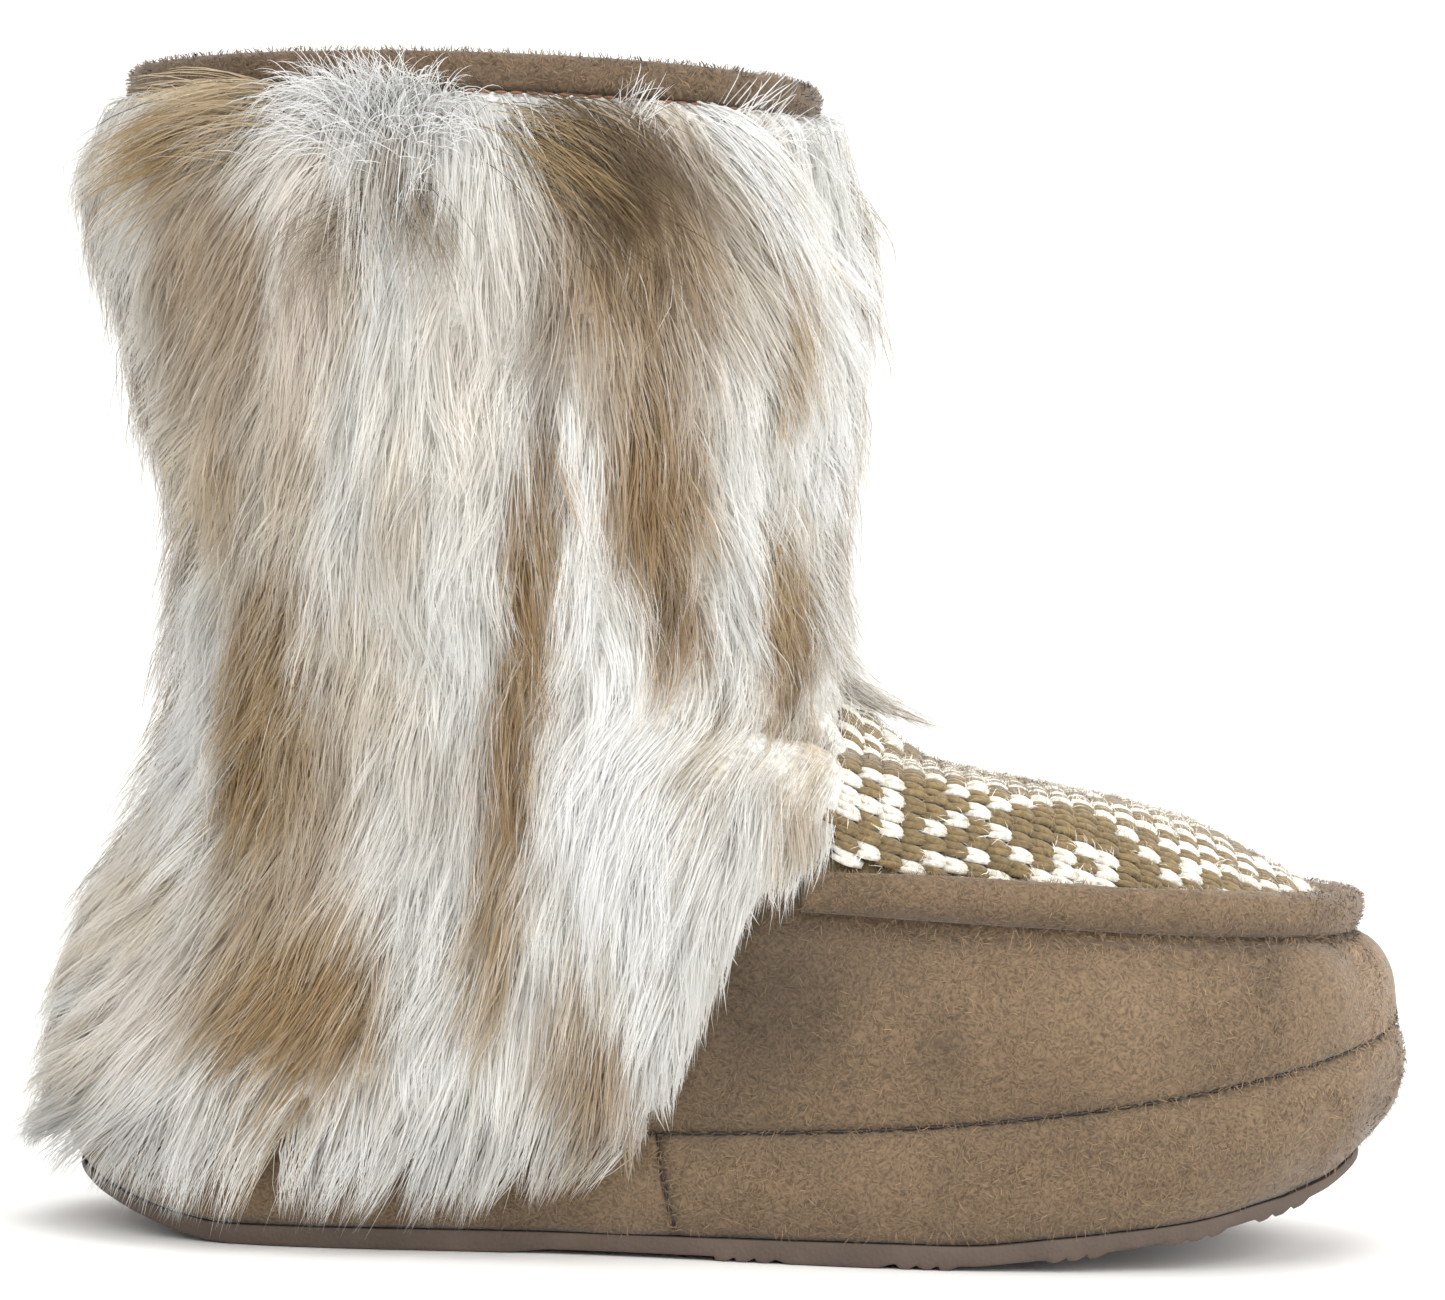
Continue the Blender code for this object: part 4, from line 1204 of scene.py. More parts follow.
def panel_grid():
    """Points on the panel by station along x and by arc length across, both in steps of PANEL_STEP."""
    stations = np.arange(0.100, 0.2185, PANEL_STEP)
    angles = np.linspace(-2.1, 2.1, 421)
    x, angle = np.meshgrid(stations, angles, indexing="ij")
    low, high = np.full(x.shape, ROLL_ROW - 0.2), np.full(x.shape, len(FOOT_SECTIONS) + 3.0)
    missed = (skin(low, angle)[..., 0] < x) | (skin(high, angle)[..., 0] > x)
    for _ in range(24):
        middle = (low + high) / 2
        ahead = skin(middle, angle)[..., 0] > x
        low, high = np.where(ahead, middle, low), np.where(ahead, high, middle)
    points = over_skin(low, angle, np.full(x.shape, GAP + 0.0006))
    table = np.full((len(stations), 2 * PANEL_HALF + 1, 3), np.nan)
    steps = np.arange(-PANEL_HALF, PANEL_HALF + 1) * PANEL_STEP
    for i in range(len(stations)):
        line = points[i][~missed[i]]
        if len(line) < 5:
            continue
        arc = np.concatenate([[0], np.cumsum(np.linalg.norm(np.diff(line, axis=0), axis=1))])
        arc -= arc[np.argmin(np.abs(angles[~missed[i]]))]
        inside = (steps >= arc[0]) & (steps <= arc[-1])
        for k in range(3):
            table[i, inside, k] = np.interp(steps[inside], arc, line[:, k])
    return stations, table


PANEL_STATIONS, PANEL_TABLE = panel_grid()


def panel_point(x, across):
    """Points and outward directions on the panel, nan outside it."""
    stations, table = PANEL_STATIONS, PANEL_TABLE

    def sample(x, across):
        fi = np.clip((x - stations[0]) / PANEL_STEP, 0, len(stations) - 1.001)
        fj = np.clip(across / PANEL_STEP + PANEL_HALF, 0, 2 * PANEL_HALF - 0.001)
        i, j = fi.astype(int), fj.astype(int)
        a, b = (fi - i)[:, None], (fj - j)[:, None]
        return (table[i, j] * (1 - a) * (1 - b) + table[i + 1, j] * a * (1 - b)
                + table[i, j + 1] * (1 - a) * b + table[i + 1, j + 1] * a * b)

    step = 0.0012
    here = sample(x, across)
    along = sample(x + step, across) - sample(x - step, across)
    side = sample(x, across + step) - sample(x, across - step)
    return here, unit(np.cross(along, side))


STITCH_LONG = 0.00423
STITCH_WIDE = 0.0030

# The wale beside the roll, counted from the middle, where the knit's repeat starts
ROLL_WALE = 16


def under_fur(points):
    """Which points lie well behind the fur's front edge."""
    return points[..., 0] < fur_front(points[..., 2]) - 0.003


def stitch_colour(i, j):
    """The yarn's colour at a course and a wale, both counted in stitches."""
    chart = np.array([[letter == "o" for letter in line] for line in KNIT_CHART])
    high, wide = chart.shape
    is_cream = chart[(ROLL_WALE - np.abs(j)) % high, (i + 3) % wide]
    return np.where(is_cream[..., None], np.array(colours().knit_cream), np.array(colours().knit_brown))


def make_knit(look, base_look):
    """Stockinette of separate stitches, two plump legs each, with painted shade where each leg dips in,
    over a knitted ground darkened as painted shade between the stitches.
    """
    ring = 5
    rings = 6
    t = np.linspace(0, 1, rings)
    turn = np.linspace(0, 2 * math.pi, ring, endpoint=False)
    verts, polys, tints = [], [], []
    chance = np.random.default_rng(61)
    count = 0
    columns = range(int(0.100 / STITCH_LONG), int(0.218 / STITCH_LONG) + 1)
    for i in columns:
        for j in range(-22, 23):
            along0 = i * STITCH_LONG
            across0 = j * STITCH_WIDE + chance.normal(0, 0.00008)
            shade = stitch_colour(np.array(i), np.array(j)) * chance.uniform(0.86, 1.08)
            for side in (-1, 1):
                along = along0 + STITCH_LONG * (-0.45 + 1.45 * t) + chance.normal(0, 0.00006)
                across = across0 + side * STITCH_WIDE * (0.31 - 0.27 * t**1.3)
                lift = 0.0004 + 0.0012 * np.sin(math.pi * np.clip(t * 0.95 + 0.02, 0, 1)) ** 0.8
                centre, out = panel_point(along, across)
                if np.isnan(centre).any() or np.isnan(out).any() or under_fur(centre).all():
                    continue
                centre = centre + out * lift[:, None]
                forward = unit(np.gradient(centre, axis=0))
                beside = unit(np.cross(out, forward))
                radius = sizes().yarn / 2 * (0.42 + 0.56 * np.sin(math.pi * np.clip(t, 0.06, 0.94)) ** 0.6)
                radius = radius * chance.uniform(0.93, 1.07, rings)
                loop = (beside[:, None] * np.cos(turn)[None, :, None] * 1.08
                        + out[:, None] * np.sin(turn)[None, :, None] * 0.92)
                verts.append((centre[:, None] + loop * radius[:, None, None]).reshape(-1, 3))
                start = count * ring * rings
                for k in range(rings - 1):
                    for m in range(ring):
                        n = (m + 1) % ring
                        a = start + k * ring
                        polys.append((a + m, a + n, a + ring + n, a + ring + m))
                polys.append(tuple(start + m for m in reversed(range(ring))))
                polys.append(tuple(start + (rings - 1) * ring + m for m in range(ring)))
                # Painted shade: each leg darker towards its ends, where it dips in under its neighbours
                depth = 0.62 + 0.38 * np.sin(math.pi * np.clip(t, 0.05, 0.9)) ** 0.7
                tints.append((depth[:, None, None] * shade[None, None, :] * np.ones((rings, ring, 1))
                              ).reshape(-1, 3))
                count += 1
    mesh = bpy.data.meshes.new("knit_stitches")
    mesh.from_pydata(np.concatenate(verts), [], polys)
    set_tint(mesh, np.concatenate(tints))
    mesh.shade_smooth()
    adopt("knit_stitches", mesh, look, ("knit_plug",))

    stop = roll_stop()

    def place(u, v, inside):
        angle = -stop + 2 * stop * u
        low = np.full(len(u), ROLL_ROW + 0.2)
        high = np.maximum(fur_edge_row(angle), ROLL_ROW + 0.8) + 0.6
        return over_skin(low + (high - low) * v, angle, GAP + 0.0005 - 0.0003 * inside)

    bm = lay_shell(80, 10, place, False)
    # Knit ground at 0.7 of the brown yarn: painted shade between the stitches
    finish_piece("knit_ground", bm, base_look, (), shaded(colours().knit_brown, 0.7))


def set_tint(mesh, dyes):
    """Writes the tint attribute of a mesh, one colour for each vertex."""
    layer = mesh.color_attributes.new("tint", "FLOAT_COLOR", "POINT")
    full = np.ones((len(dyes), 4), np.float32)
    full[:, :3] = dyes
    layer.data.foreach_set("color", full.ravel())


# Fur and other fibres

BELOW = 0.005
ROW_PARTS = 6
ANGLE_PARTS = 240


def surface_tables():
    """The upper's surface by row and angle: its directions up and around, and the direction in which
    the fur stands out. That last one is evened over two rows each way and turned level, so that the
    locks hang over the bend of the ankle."""
    rows = np.linspace(0, TOP_ROW, TOP_ROW * ROW_PARTS + 1)
    angles = np.linspace(-math.pi, math.pi, ANGLE_PARTS + 1)
    row, angle = np.meshgrid(rows, angles, indexing="ij")
    small = 0.05
    held = np.clip(row, small, TOP_ROW - small)
    up = (skin(held + small, angle) - skin(held - small, angle)) / (2 * small)
    around = (skin(held, angle + small) - skin(held, angle - small)) / (2 * small)
    reach = 2 * ROW_PARTS
    out = np.pad(unit(np.cross(around, up)), ((reach, reach), (0, 0), (0, 0)), "edge")
    out = sum(out[i:i + len(rows)] for i in range(2 * reach + 1))
    out[..., 2] *= 0.35
    return up, around, unit(out)


UP_TABLE, AROUND_TABLE, STAND_TABLE = surface_tables()


def look_up(table, row, angle):
    """Values of a surface table at rows and angles."""
    turned = (angle + math.pi) % (2 * math.pi) / (2 * math.pi) * ANGLE_PARTS
    high = np.clip(row, 0, TOP_ROW - 0.001) * ROW_PARTS
    i, j = high.astype(int), np.minimum(turned.astype(int), ANGLE_PARTS - 1)
    a, b = (high - i)[:, None], (turned - j)[:, None]
    low = table[i, j] * (1 - b) + table[i, j + 1] * b
    return low * (1 - a) + (table[i + 1, j] * (1 - b) + table[i + 1, j + 1] * b) * a


def stand(row, angle):
    """The direction in which the fur stands out at a row and an angle."""
    return unit(look_up(STAND_TABLE, row, angle))


def drape(row, angle, height):
    """A point over the upper, or over the band where the row is under 0, and its outward direction."""
    held = np.maximum(row, 0)
    out = stand(held, angle)
    point = skin(held, angle)
    drop = np.maximum(-row, 0) * BELOW
    across = outline(angle, -1.0 * np.ones(len(row))) - outline(angle, np.zeros(len(row)))
    level = np.column_stack([across, across[:, 0] * 0])
    share = smooth(0, 0.006, drop)[:, None]
    out = unit(out * (1 - share) + level * share)
    bulge = BAND_BULGE * smooth(0, 0.005, drop)
    point = point + level * bulge[:, None]
    point[:, 2] -= drop
    return point + out * height[:, None], out


def fur_limit(angle):
    """The lowest row that the fur's tips reach."""
    share = (1 + np.cos(angle)) / 2
    hem = -FUR_HEM_DROP * np.interp(share, HEM_PLACES, HEM_SHARES, right=0.1) / BELOW
    edge = fur_edge_row(angle)
    return np.where(edge > 0.01, edge, hem)


def lowest_root(angle):
    """The lowest row that hairs grow from."""
    edge = fur_edge_row(angle)
    return np.where(edge > 0.01, edge + 0.6, 0.02)


def lean_at(points):
    """The fur's lean to the heel at a place."""
    total = np.zeros(len(points))
    for p in FUR_LEANS:
        across = (points[:, 0] * 1000 - p.x) / p.wide
        up = (points[:, 2] * 1000 - p.z) / p.high
        total += p.lean * np.exp(-across**2 - up**2)
    return total


def tone_at(points, shift):
    """The fur's colour at a place. The inner side has the outer side's patches turned about the leg, and
    the fur is darker toward the hem as painted shade.
    """
    dyes = np.tile(tone("white") * 0.86, (len(points), 1))
    share = smooth(-0.3, 0.9, soft_noise(points * (1, 1, 0.35), 0.022, 77))[:, None] * 0.35
    dyes = dyes * (1 - share) + tone("cream") * share
    inner = smooth(-0.012, 0.012, points[:, 1])
    x = points[:, 0] * 1000
    x = x * (1 - inner) + (78 - x) * inner + shift[:, 0]
    z = points[:, 2] * 1000 + shift[:, 1] + 12 * inner
    for p in FUR_PATCHES:
        distance = ((x - p.x) / p.wide) ** 2 + ((z - p.z) / p.high) ** 2
        share = (p.share * np.exp(-(distance / 1.1) ** 2))[:, None]
        dyes = dyes * (1 - share) + tone(p.tone) * share
    # Painted shade: darker towards the bottom of the fur, near the hem
    hem = 0.68 + 0.32 * smooth(0.008, 0.034, points[:, 2] + 0.004 * soft_noise(points, 0.03, 78))
    return dyes * hem[:, None]


def scatter_roots(chance, count, low, top=TOP_ROW - 0.05):
    """Rows and angles of roots spread evenly over the fur's cloth."""
    rows = np.linspace(0, TOP_ROW, 120)
    angles = np.linspace(-math.pi, math.pi, 181)
    grid = skin(*np.meshgrid(rows, angles, indexing="ij"))
    up = np.linalg.norm(np.diff(grid, axis=0), axis=-1)[:, :-1]
    around = np.linalg.norm(np.diff(grid, axis=1), axis=-1)[:-1]
    area = (up * around).ravel()
    found_rows, found_angles = [], []
    total = 0
    while total < count:
        picks = chance.choice(len(area), size=count, p=area / area.sum())
        i, j = np.divmod(picks, len(angles) - 1)
        row = rows[i] + (rows[1] - rows[0]) * chance.random(count)
        angle = angles[j] + (angles[1] - angles[0]) * chance.random(count)
        keep = (row > low(angle)) & (row < top)
        found_rows.append(row[keep])
        found_angles.append(angle[keep])
        total += keep.sum()
    return np.concatenate(found_rows)[:count], np.concatenate(found_angles)[:count]


def comb(row, angle, length, lean, steps):
    """Rows and angles of points down each hair, walked along the surface in short steps the way it
    hangs: straight down in the side view, apart from its lean."""
    rows, angles = [row], [angle]
    parts = 4
    for k in range(steps * parts):
        around = look_up(AROUND_TABLE, row, angle)
        up = np.where((row <= 0)[:, None], np.array([0, 0, BELOW]), look_up(UP_TABLE, row, angle))
        out = unit(np.cross(around, up))
        across = np.where(out[:, 1] < 0, -1, 1) * np.maximum(np.abs(out[:, 1]), 0.25)
        sideways = np.clip((out[:, 2] + lean * out[:, 0]) / across, -2.5, 2.5)
        sideways = sideways * smooth(0.10, 0.35, np.abs(out[:, 1]))
        heading = np.column_stack([-lean, sideways, -np.ones(len(row))])
        uu, ua, aa = (up * up).sum(1), (up * around).sum(1), (around * around).sum(1)
        hu, ha = (heading * up).sum(1), (heading * around).sum(1)
        size = uu * aa - ua * ua
        by_row, by_angle = (hu * aa - ha * ua) / size, (ha * uu - hu * ua) / size
        run = np.linalg.norm(up * by_row[:, None] + around * by_angle[:, None], axis=1)
        step = length / (steps * parts) / np.maximum(run, 0.15)
        row = np.minimum(row + by_row * step, TOP_ROW)
        angle = angle + by_angle * step
        if k % parts == parts - 1:
            rows.append(row)
            angles.append(angle)
    return np.array(rows), np.array(angles)


def hair_paths(chance, row, angle, length, height, lean, steps, curve=2.0):
    """Points down each hair, from its root out and down over the ones below."""
    rows, angles = comb(row, angle, length, lean, steps)
    turned = np.abs((angles[-1] + math.pi) % (2 * math.pi) - math.pi)
    front = 1 - smooth(0.35, 0.75, turned)
    limit = fur_limit(angles[-1]) + chance.normal(-0.15, 0.35, len(row)) - 0.15 * front
    span = np.maximum(row - rows[-1], 1e-6)
    keep = np.clip((row - limit) / span, 0.22, 1)
    rows, angles = comb(row, angle, length * keep, lean, steps)
    edge = fur_edge_row(angle)
    thin = np.where(edge > 0.01, 0.55 * (1 - smooth(0, 4, row - edge)), 0) * (1 - front)
    height = height * (1 - thin) * np.minimum(keep * 1.6 + 0.2 * front, 1)
    t = np.linspace(0, 1, steps + 1)
    points = []
    for k in range(steps + 1):
        lift = height * (1 - (1 - t[k]) ** curve) - 0.0008 * t[k]
        points.append(drape(rows[k], angles[k], 0.0006 + lift)[0])
    return np.array(points).transpose(1, 0, 2)


def ribbons(name, look, paths, outs, width, tints, chance, twist=0.9):
    """Flat tapered hairs with pointed tips, joined in one mesh from arrays."""
    count, knots, _ = paths.shape
    forward = unit(np.gradient(paths, axis=1))
    side = unit(np.cross(forward, outs[:, None]))
    over = unit(np.cross(side, forward))
    roll = chance.normal(0, twist, count)[:, None, None]
    side = side * np.cos(roll) + over * np.sin(roll)
    taper = np.linspace(1, 0, knots)[:-1] ** 0.6
    half = side[:, :-1] * (width[:, None, None] / 2 * taper[None, :, None])
    body = paths[:, :-1]
    per = 2 * (knots - 1) + 1
    verts = np.empty((count, per, 3))
    verts[:, 0:-1:2] = body - half
    verts[:, 1:-1:2] = body + half
    verts[:, -1] = paths[:, -1]
    start = np.arange(count)[:, None] * per
    quads = []
    for k in range(knots - 2):
        quads.append(start + np.array([2 * k, 2 * k + 1, 2 * k + 3, 2 * k + 2]))
    quads = np.concatenate(quads)
    tips = start + np.array([2 * (knots - 2), 2 * (knots - 2) + 1, per - 1])
    mesh = bpy.data.meshes.new(name)
    mesh.vertices.add(count * per)
    mesh.vertices.foreach_set("co", verts.ravel())
    loops = np.concatenate([quads.ravel(), tips.ravel()])
    mesh.loops.add(len(loops))
    mesh.loops.foreach_set("vertex_index", loops.astype(np.int32))
    mesh.polygons.add(len(quads) + len(tips))
    starts = np.concatenate([np.arange(len(quads)) * 4, len(quads) * 4 + np.arange(len(tips)) * 3])
    mesh.polygons.foreach_set("loop_start", starts.astype(np.int32))
    mesh.update(calc_edges=True)
    mesh.validate()
    place = np.concatenate([np.repeat(np.arange(knots - 1), 2), [knots - 1]])
    set_tint(mesh, tints[:, place].reshape(-1, 3))
    mesh.shade_smooth()
    soft = unit(outs[:, None] + 0.35 * over)[:, place.clip(0, knots - 2)]
    mesh.normals_split_custom_set_from_vertices(soft.reshape(-1, 3))
    return adopt(name, mesh, look)


def clump_fur(chance, count):
    """Lock centres over the cloth: roots, lengths, heights and leans that their hairs share."""
    row, angle = scatter_roots(chance, count, lowest_root)
    root = skin(row, angle)
    lean = lean_at(root) + 0.14 * soft_noise(root, 0.03, 71) + 0.12 * soft_noise(root, 0.010, 74)
    lean += chance.normal(0, 0.10, count)
    length = 1 + 0.13 * soft_noise(root, 0.03, 72) + chance.normal(0, 0.10, count)
    height = 1 + 0.14 * soft_noise(root, 0.035, 73) + chance.normal(0, 0.14, count)
    return {
        "row": row, "angle": angle, "root": root, "lean": lean,
        "length": sizes().fur_length * length,
        "height": sizes().fur_stand * height,
        "shift": np.column_stack([chance.normal(0, 1.1, count), chance.normal(0, 4.5, count)]),
        "shade": chance.normal(1.0, 0.05, count),
    }


# Layers of the fur: hairs, knots in each, shares of the pile's length and stand, width in metres, how
# far each lock is gathered at its tip, shade of the tips, and how far hairs turn on edge in radians
Layer = namedtuple("Layer", "name count steps reach rise width gather tip_shade twist")
FUR_LAYERS = tuple(Layer(*row) for row in (
    ("fur_underwool", 21000, 3, 0.62, 0.66, 0.00070, 0.35, 0.97, 0.35),
    ("fur_pile_a", 34000, 3, 0.92, 0.95, 0.00029, 0.55, 1.00, 0.35),
    ("fur_pile_b", 34000, 3, 1.00, 1.05, 0.00026, 0.62, 1.00, 0.45),
    ("fur_guard", 12000, 4, 1.15, 1.18, 0.00024, 0.50, 1.00, 0.80),
))


def grow_fur(layer, look, chance, clumps):
    """One layer of the fur: hairs gathered into locks, coloured by patch, and darker and warmer at the
    root, partly a warmer undercoat and partly painted shade.
    """
    count, steps = hairs(layer.count), layer.steps
    row, angle = scatter_roots(chance, count, lowest_root)
    root = skin(row, angle)
    nearest = near_clump(root, clumps["root"])
    length = clumps["length"][nearest] * layer.reach * chance.uniform(0.75, 1.12, count)
    height = clumps["height"][nearest] * layer.rise * chance.uniform(0.70, 1.12, count)
    lean = clumps["lean"][nearest] + chance.normal(0, 0.10, count)
    paths = hair_paths(chance, row, angle, length, height, lean, steps)
    locks = hair_paths(chance, clumps["row"], clumps["angle"], clumps["length"] * layer.reach,
                       clumps["height"] * layer.rise, clumps["lean"], steps)
    t = np.linspace(0, 1, steps + 1)
    pull = layer.gather * t**1.2
    pull = pull[None, :, None] * chance.uniform(0.7, 1.0, count)[:, None, None]
    aim = locks[nearest]
    paths = paths * (1 - pull) + aim * pull
    wave = chance.normal(0, 1, (count, 3)) * 0.0006
    paths = paths + wave[:, None] * np.sin(t * math.pi * 1.3)[None, :, None]
    dyes = tone_at(paths[:, steps // 2], clumps["shift"][nearest] + chance.normal(0, 0.9, (count, 2)))
    stray = (chance.random(count) < 0.06)[:, None] * 0.5
    dyes = dyes * (1 - stray) + tone("white") * stray
    shade = clumps["shade"][nearest] * chance.normal(1.0, 0.06, count)
    dyes = np.clip(dyes * shade[:, None], 0.01, 0.93)
    bright = dyes.mean(axis=1, keepdims=True)
    # Roots: darker as painted shade, and a little warmer as the undercoat is
    root_dyes_shaded = dyes * (0.80 + 0.14 * bright) * np.array([1.0, 0.97, 0.93])
    down = smooth(0.0, 0.55, t)[None, :, None]
    tints = root_dyes_shaded[:, None] * (1 - down) + dyes[:, None] * down
    tints = tints * (1 + (layer.tip_shade - 1) * smooth(0.7, 1.0, t))[None, :, None]
    outs = stand(np.clip(row, 0, TOP_ROW), angle)
    width = layer.width * chance.uniform(0.7, 1.3, count)
    return ribbons(layer.name, look, paths, outs, width, tints, chance, layer.twist)


def near_clump(roots, centres):
    """Index of the nearest lock centre for each root."""
    tree = KDTree(len(centres))
    for i, centre in enumerate(centres):
        tree.insert(centre, i)
    tree.balance()
    return np.array([tree.find(root)[1] for root in roots])


def make_fur_cloth(look):
    """Dense short wool under the long fur, so no backing shows between the locks; its tint is darkened as
    painted shade under the hairs.
    """
    def place(u, v, inside):
        angle = 2 * math.pi * u
        low = np.where(fur_edge_row(angle) > 0.01, fur_edge_row(angle) + 0.35, 0.0)
        row = low + (TOP_ROW - 0.02 - low) * v
        points = skin(row, angle)
        lumps = soft_noise(points * (1, 1, 0.5), 0.009, 81) * 0.0009
        depth = 0.0030 * smooth(0, 0.05, v) * (1 - smooth(0.95, 1.0, v)) + 0.0012
        return over_skin(row, angle, np.where(inside > 0, 0.0002, depth + lumps))

    bm = lay_shell(100, 26, place, True)
    mesh = bpy.data.meshes.new("fur_cloth")
    bm.to_mesh(mesh)
    bm.free()
    points = mesh_points(mesh)
    # Painted shade: the cloth takes the fur's colour at 0.88, darker as shade under the hairs
    set_tint(mesh, tone_at(points, np.zeros((len(points), 2))) * 0.88)
    mesh.shade_smooth()
    return adopt("fur_cloth", mesh, look, ("fur_shaft",))


# Tufts on the outer side: root in mm, hairs, spread in mm, heading seen from the side,
# fan in radians, length in mm, and how far they stand out and fall
Tuft = namedtuple("Tuft", "x z hairs spread ahead up fan length out fall tone")
TUFTS = tuple(Tuft(*row) for row in (
    (22, 219, 520, 11, 0.0, 1.0, 1.0, 12, 0.60, 0.3, "white"),
    (13, 219, 260, 9, -0.8, 0.6, 0.7, 13, 0.60, 0.5, "white"),
    (31, 219, 200, 7, 0.6, 0.7, 0.7, 11, 0.60, 0.5, "white"),
    (0, 222, 220, 8, -1.0, 0.15, 0.25, 24, 0.35, 0.3, "sand"),
    (-8, 218, 260, 9, -1.0, -0.1, 0.25, 26, 0.35, 0.4, "tan"),
    (48, 215, 160, 8, 1.0, -0.25, 0.25, 20, 0.3, 0.4, "tan"),
    (58, 213, 420, 12, 1.0, -0.35, 0.35, 18, 0.35, 0.5, "dark"),
    (84, 220, 200, 6, 0.9, -0.5, 0.30, 20, 0.45, 0.5, "white"),
    (91, 212, 180, 7, 0.7, -0.9, 0.30, 20, 0.45, 0.5, "white"),
    (92, 218, 110, 10, 0.3, 0.8, 0.7, 9, 0.6, 0.3, "white"),
    (69, 222, 40, 5, 0.3, 0.8, 0.7, 8, 0.5, 0.2, "white"),
    (-33, 183, 60, 2, -1.0, -0.05, 0.12, 12, 0.0, 0.1, "tan"),
    (20, 203, 120, 6, -0.7, -0.5, 0.6, 18, 0.5, 0.7, "grey"),
    (28, 206, 120, 6, 0.6, -0.7, 0.6, 16, 0.5, 0.7, "grey"),
))


def make_tufts(look, chance):
    """The locks that stray over the cuff, the swirl below it, and the pointed lock at the back."""
    rows, angles = np.meshgrid(np.linspace(0, TOP_ROW, 211), np.linspace(-math.pi, 0, 241), indexing="ij")
    rows, angles = rows.ravel(), angles.ravel()
    grid = skin(rows, angles) * 1000
    knots = 6
    t = np.linspace(0, 1, knots)
    paths, outs, tints = [], [], []
    for tuft in TUFTS:
        near = np.argmin((grid[:, 0] - tuft.x) ** 2 + (grid[:, 2] - tuft.z) ** 2)
        count = tuft.hairs
        size = np.linalg.norm(grid[near] - grid[max(near - 1, 0)]) / 1000 + 1e-4
        spread = tuft.spread / 1000
        row_size = row_length(rows[near], angles[near])
        row = rows[near] + chance.normal(0, 0.5, count) * spread / row_size
        angle = angles[near] + chance.normal(0, 0.5, count) * spread / size * (angles[1] - angles[0])
        row = np.clip(row, 0, TOP_ROW)
        root, out = skin(row, angle), normal(row, angle)
        base = math.atan2(tuft.up, tuft.ahead)
        turn = base + tuft.fan * chance.normal(0, 0.6, count)
        heading = np.column_stack([np.cos(turn), np.zeros(count), np.sin(turn)])
        heading -= out * (heading * out).sum(1, keepdims=True)
        heading = unit(unit(heading) + out * tuft.out)
        length = tuft.length / 1000 * chance.uniform(0.6, 1.15, count)
        path = root[:, None] + out[:, None] * 0.003 + heading[:, None] * (length[:, None] * t)[..., None]
        path[..., 2] -= tuft.fall * length[:, None] * t**2
        path += out[:, None] * (0.004 * np.sin(t * math.pi * 0.6))[None, :, None]
        colour = tone(tuft.tone) * chance.normal(1, 0.10, count)[:, None]
        down = smooth(0.0, 0.5, t)[None, :, None]
        paths.append(path)
        outs.append(out)
        # Painted shade: hairs darker toward the root
        tints.append(np.clip(colour[:, None] * (0.78 + 0.24 * down), 0.01, 0.94))
    paths, outs, tints = np.concatenate(paths), np.concatenate(outs), np.concatenate(tints)
    width = 0.00024 * chance.uniform(0.7, 1.3, len(paths))
    return ribbons("fur_tufts", look, paths, outs, width, tints, chance)


def make_crown(look, chance, count):
    """Hairs at the collar that stand out from under the cuff and turn down over the shaft."""
    angle = chance.uniform(-math.pi, math.pi, count)
    rim = skin(np.full(count, float(TOP_ROW)), angle)[:, 0]
    bare = smooth(0.034, 0.042, rim) * (1 - smooth(0.100, 0.106, rim))
    row = TOP_ROW - chance.uniform(0.0, 0.75, count)
    root, out = skin(row, angle), normal(row, angle)
    knots = 5
    t = np.linspace(0, 1, knots)
    length = 0.017 * chance.uniform(0.6, 1.25, count)
    stand = 0.0075 * chance.uniform(0.5, 1.25, count)
    lean = lean_at(root) + 0.35 * soft_noise(root, 0.02, 85) + chance.normal(0, 0.2, count)
    up = np.clip(chance.normal(0.0022, 0.0018, count), 0, 0.006) * (1 - 0.85 * bare)
    ahead = np.array([1.0, 0, 0]) - out * out[:, :1]
    path = root[:, None] + out[:, None] * (stand[:, None] * (1 - (1 - t) ** 2.2))[..., None]
    path[..., 2] += up[:, None] * np.sin(t * 2.2) - length[:, None] * t**2.0
    path -= ahead[:, None] * (lean[:, None] * length[:, None] * t**1.4)[..., None]
    shift = np.column_stack([chance.normal(0, 2, count), chance.normal(0, 3, count)])
    colour = tone_at(path[:, 2], shift) * chance.normal(1, 0.09, count)[:, None]
    down = smooth(0.0, 0.5, t)[None, :, None]
    # Painted shade: hairs darker toward the root
    tints = np.clip(colour[:, None] * (0.72 + 0.28 * down), 0.01, 0.94)
    width = 0.00032 * chance.uniform(0.7, 1.3, count)
    return ribbons("fur_crown", look, path, out, width, tints, chance)


def make_floor():
    """Pale floor that turns up into a wall behind."""
    def place(u, v):
        x = (u - 0.5) * 8
        run = v * 6.0
        bend = np.clip(run - 3.2, 0, 1.0)
        turn = bend / 1.0 * math.pi / 2
        radius = 1.0 / (math.pi / 2)
        y = -2.2 + np.minimum(run, 3.2) + radius * np.sin(turn)
        z = radius * (1 - np.cos(turn)) + np.maximum(run - 4.2, 0)
        return np.column_stack([x, y, z - 0.0002])

    bm = lay_grid(4, 60, place)
    mesh = bpy.data.meshes.new("floor")
    bm.to_mesh(mesh)
    bm.free()
    mesh.shade_smooth()
    look, _, shader = new_material("matt_paint", 0.9)
    shader.inputs["Base Color"].default_value = (*rgb(FLOOR), 1)
    mesh.materials.append(look)
    floor = bpy.data.objects.new("floor", mesh)
    bpy.context.scene.collection.objects.link(floor)


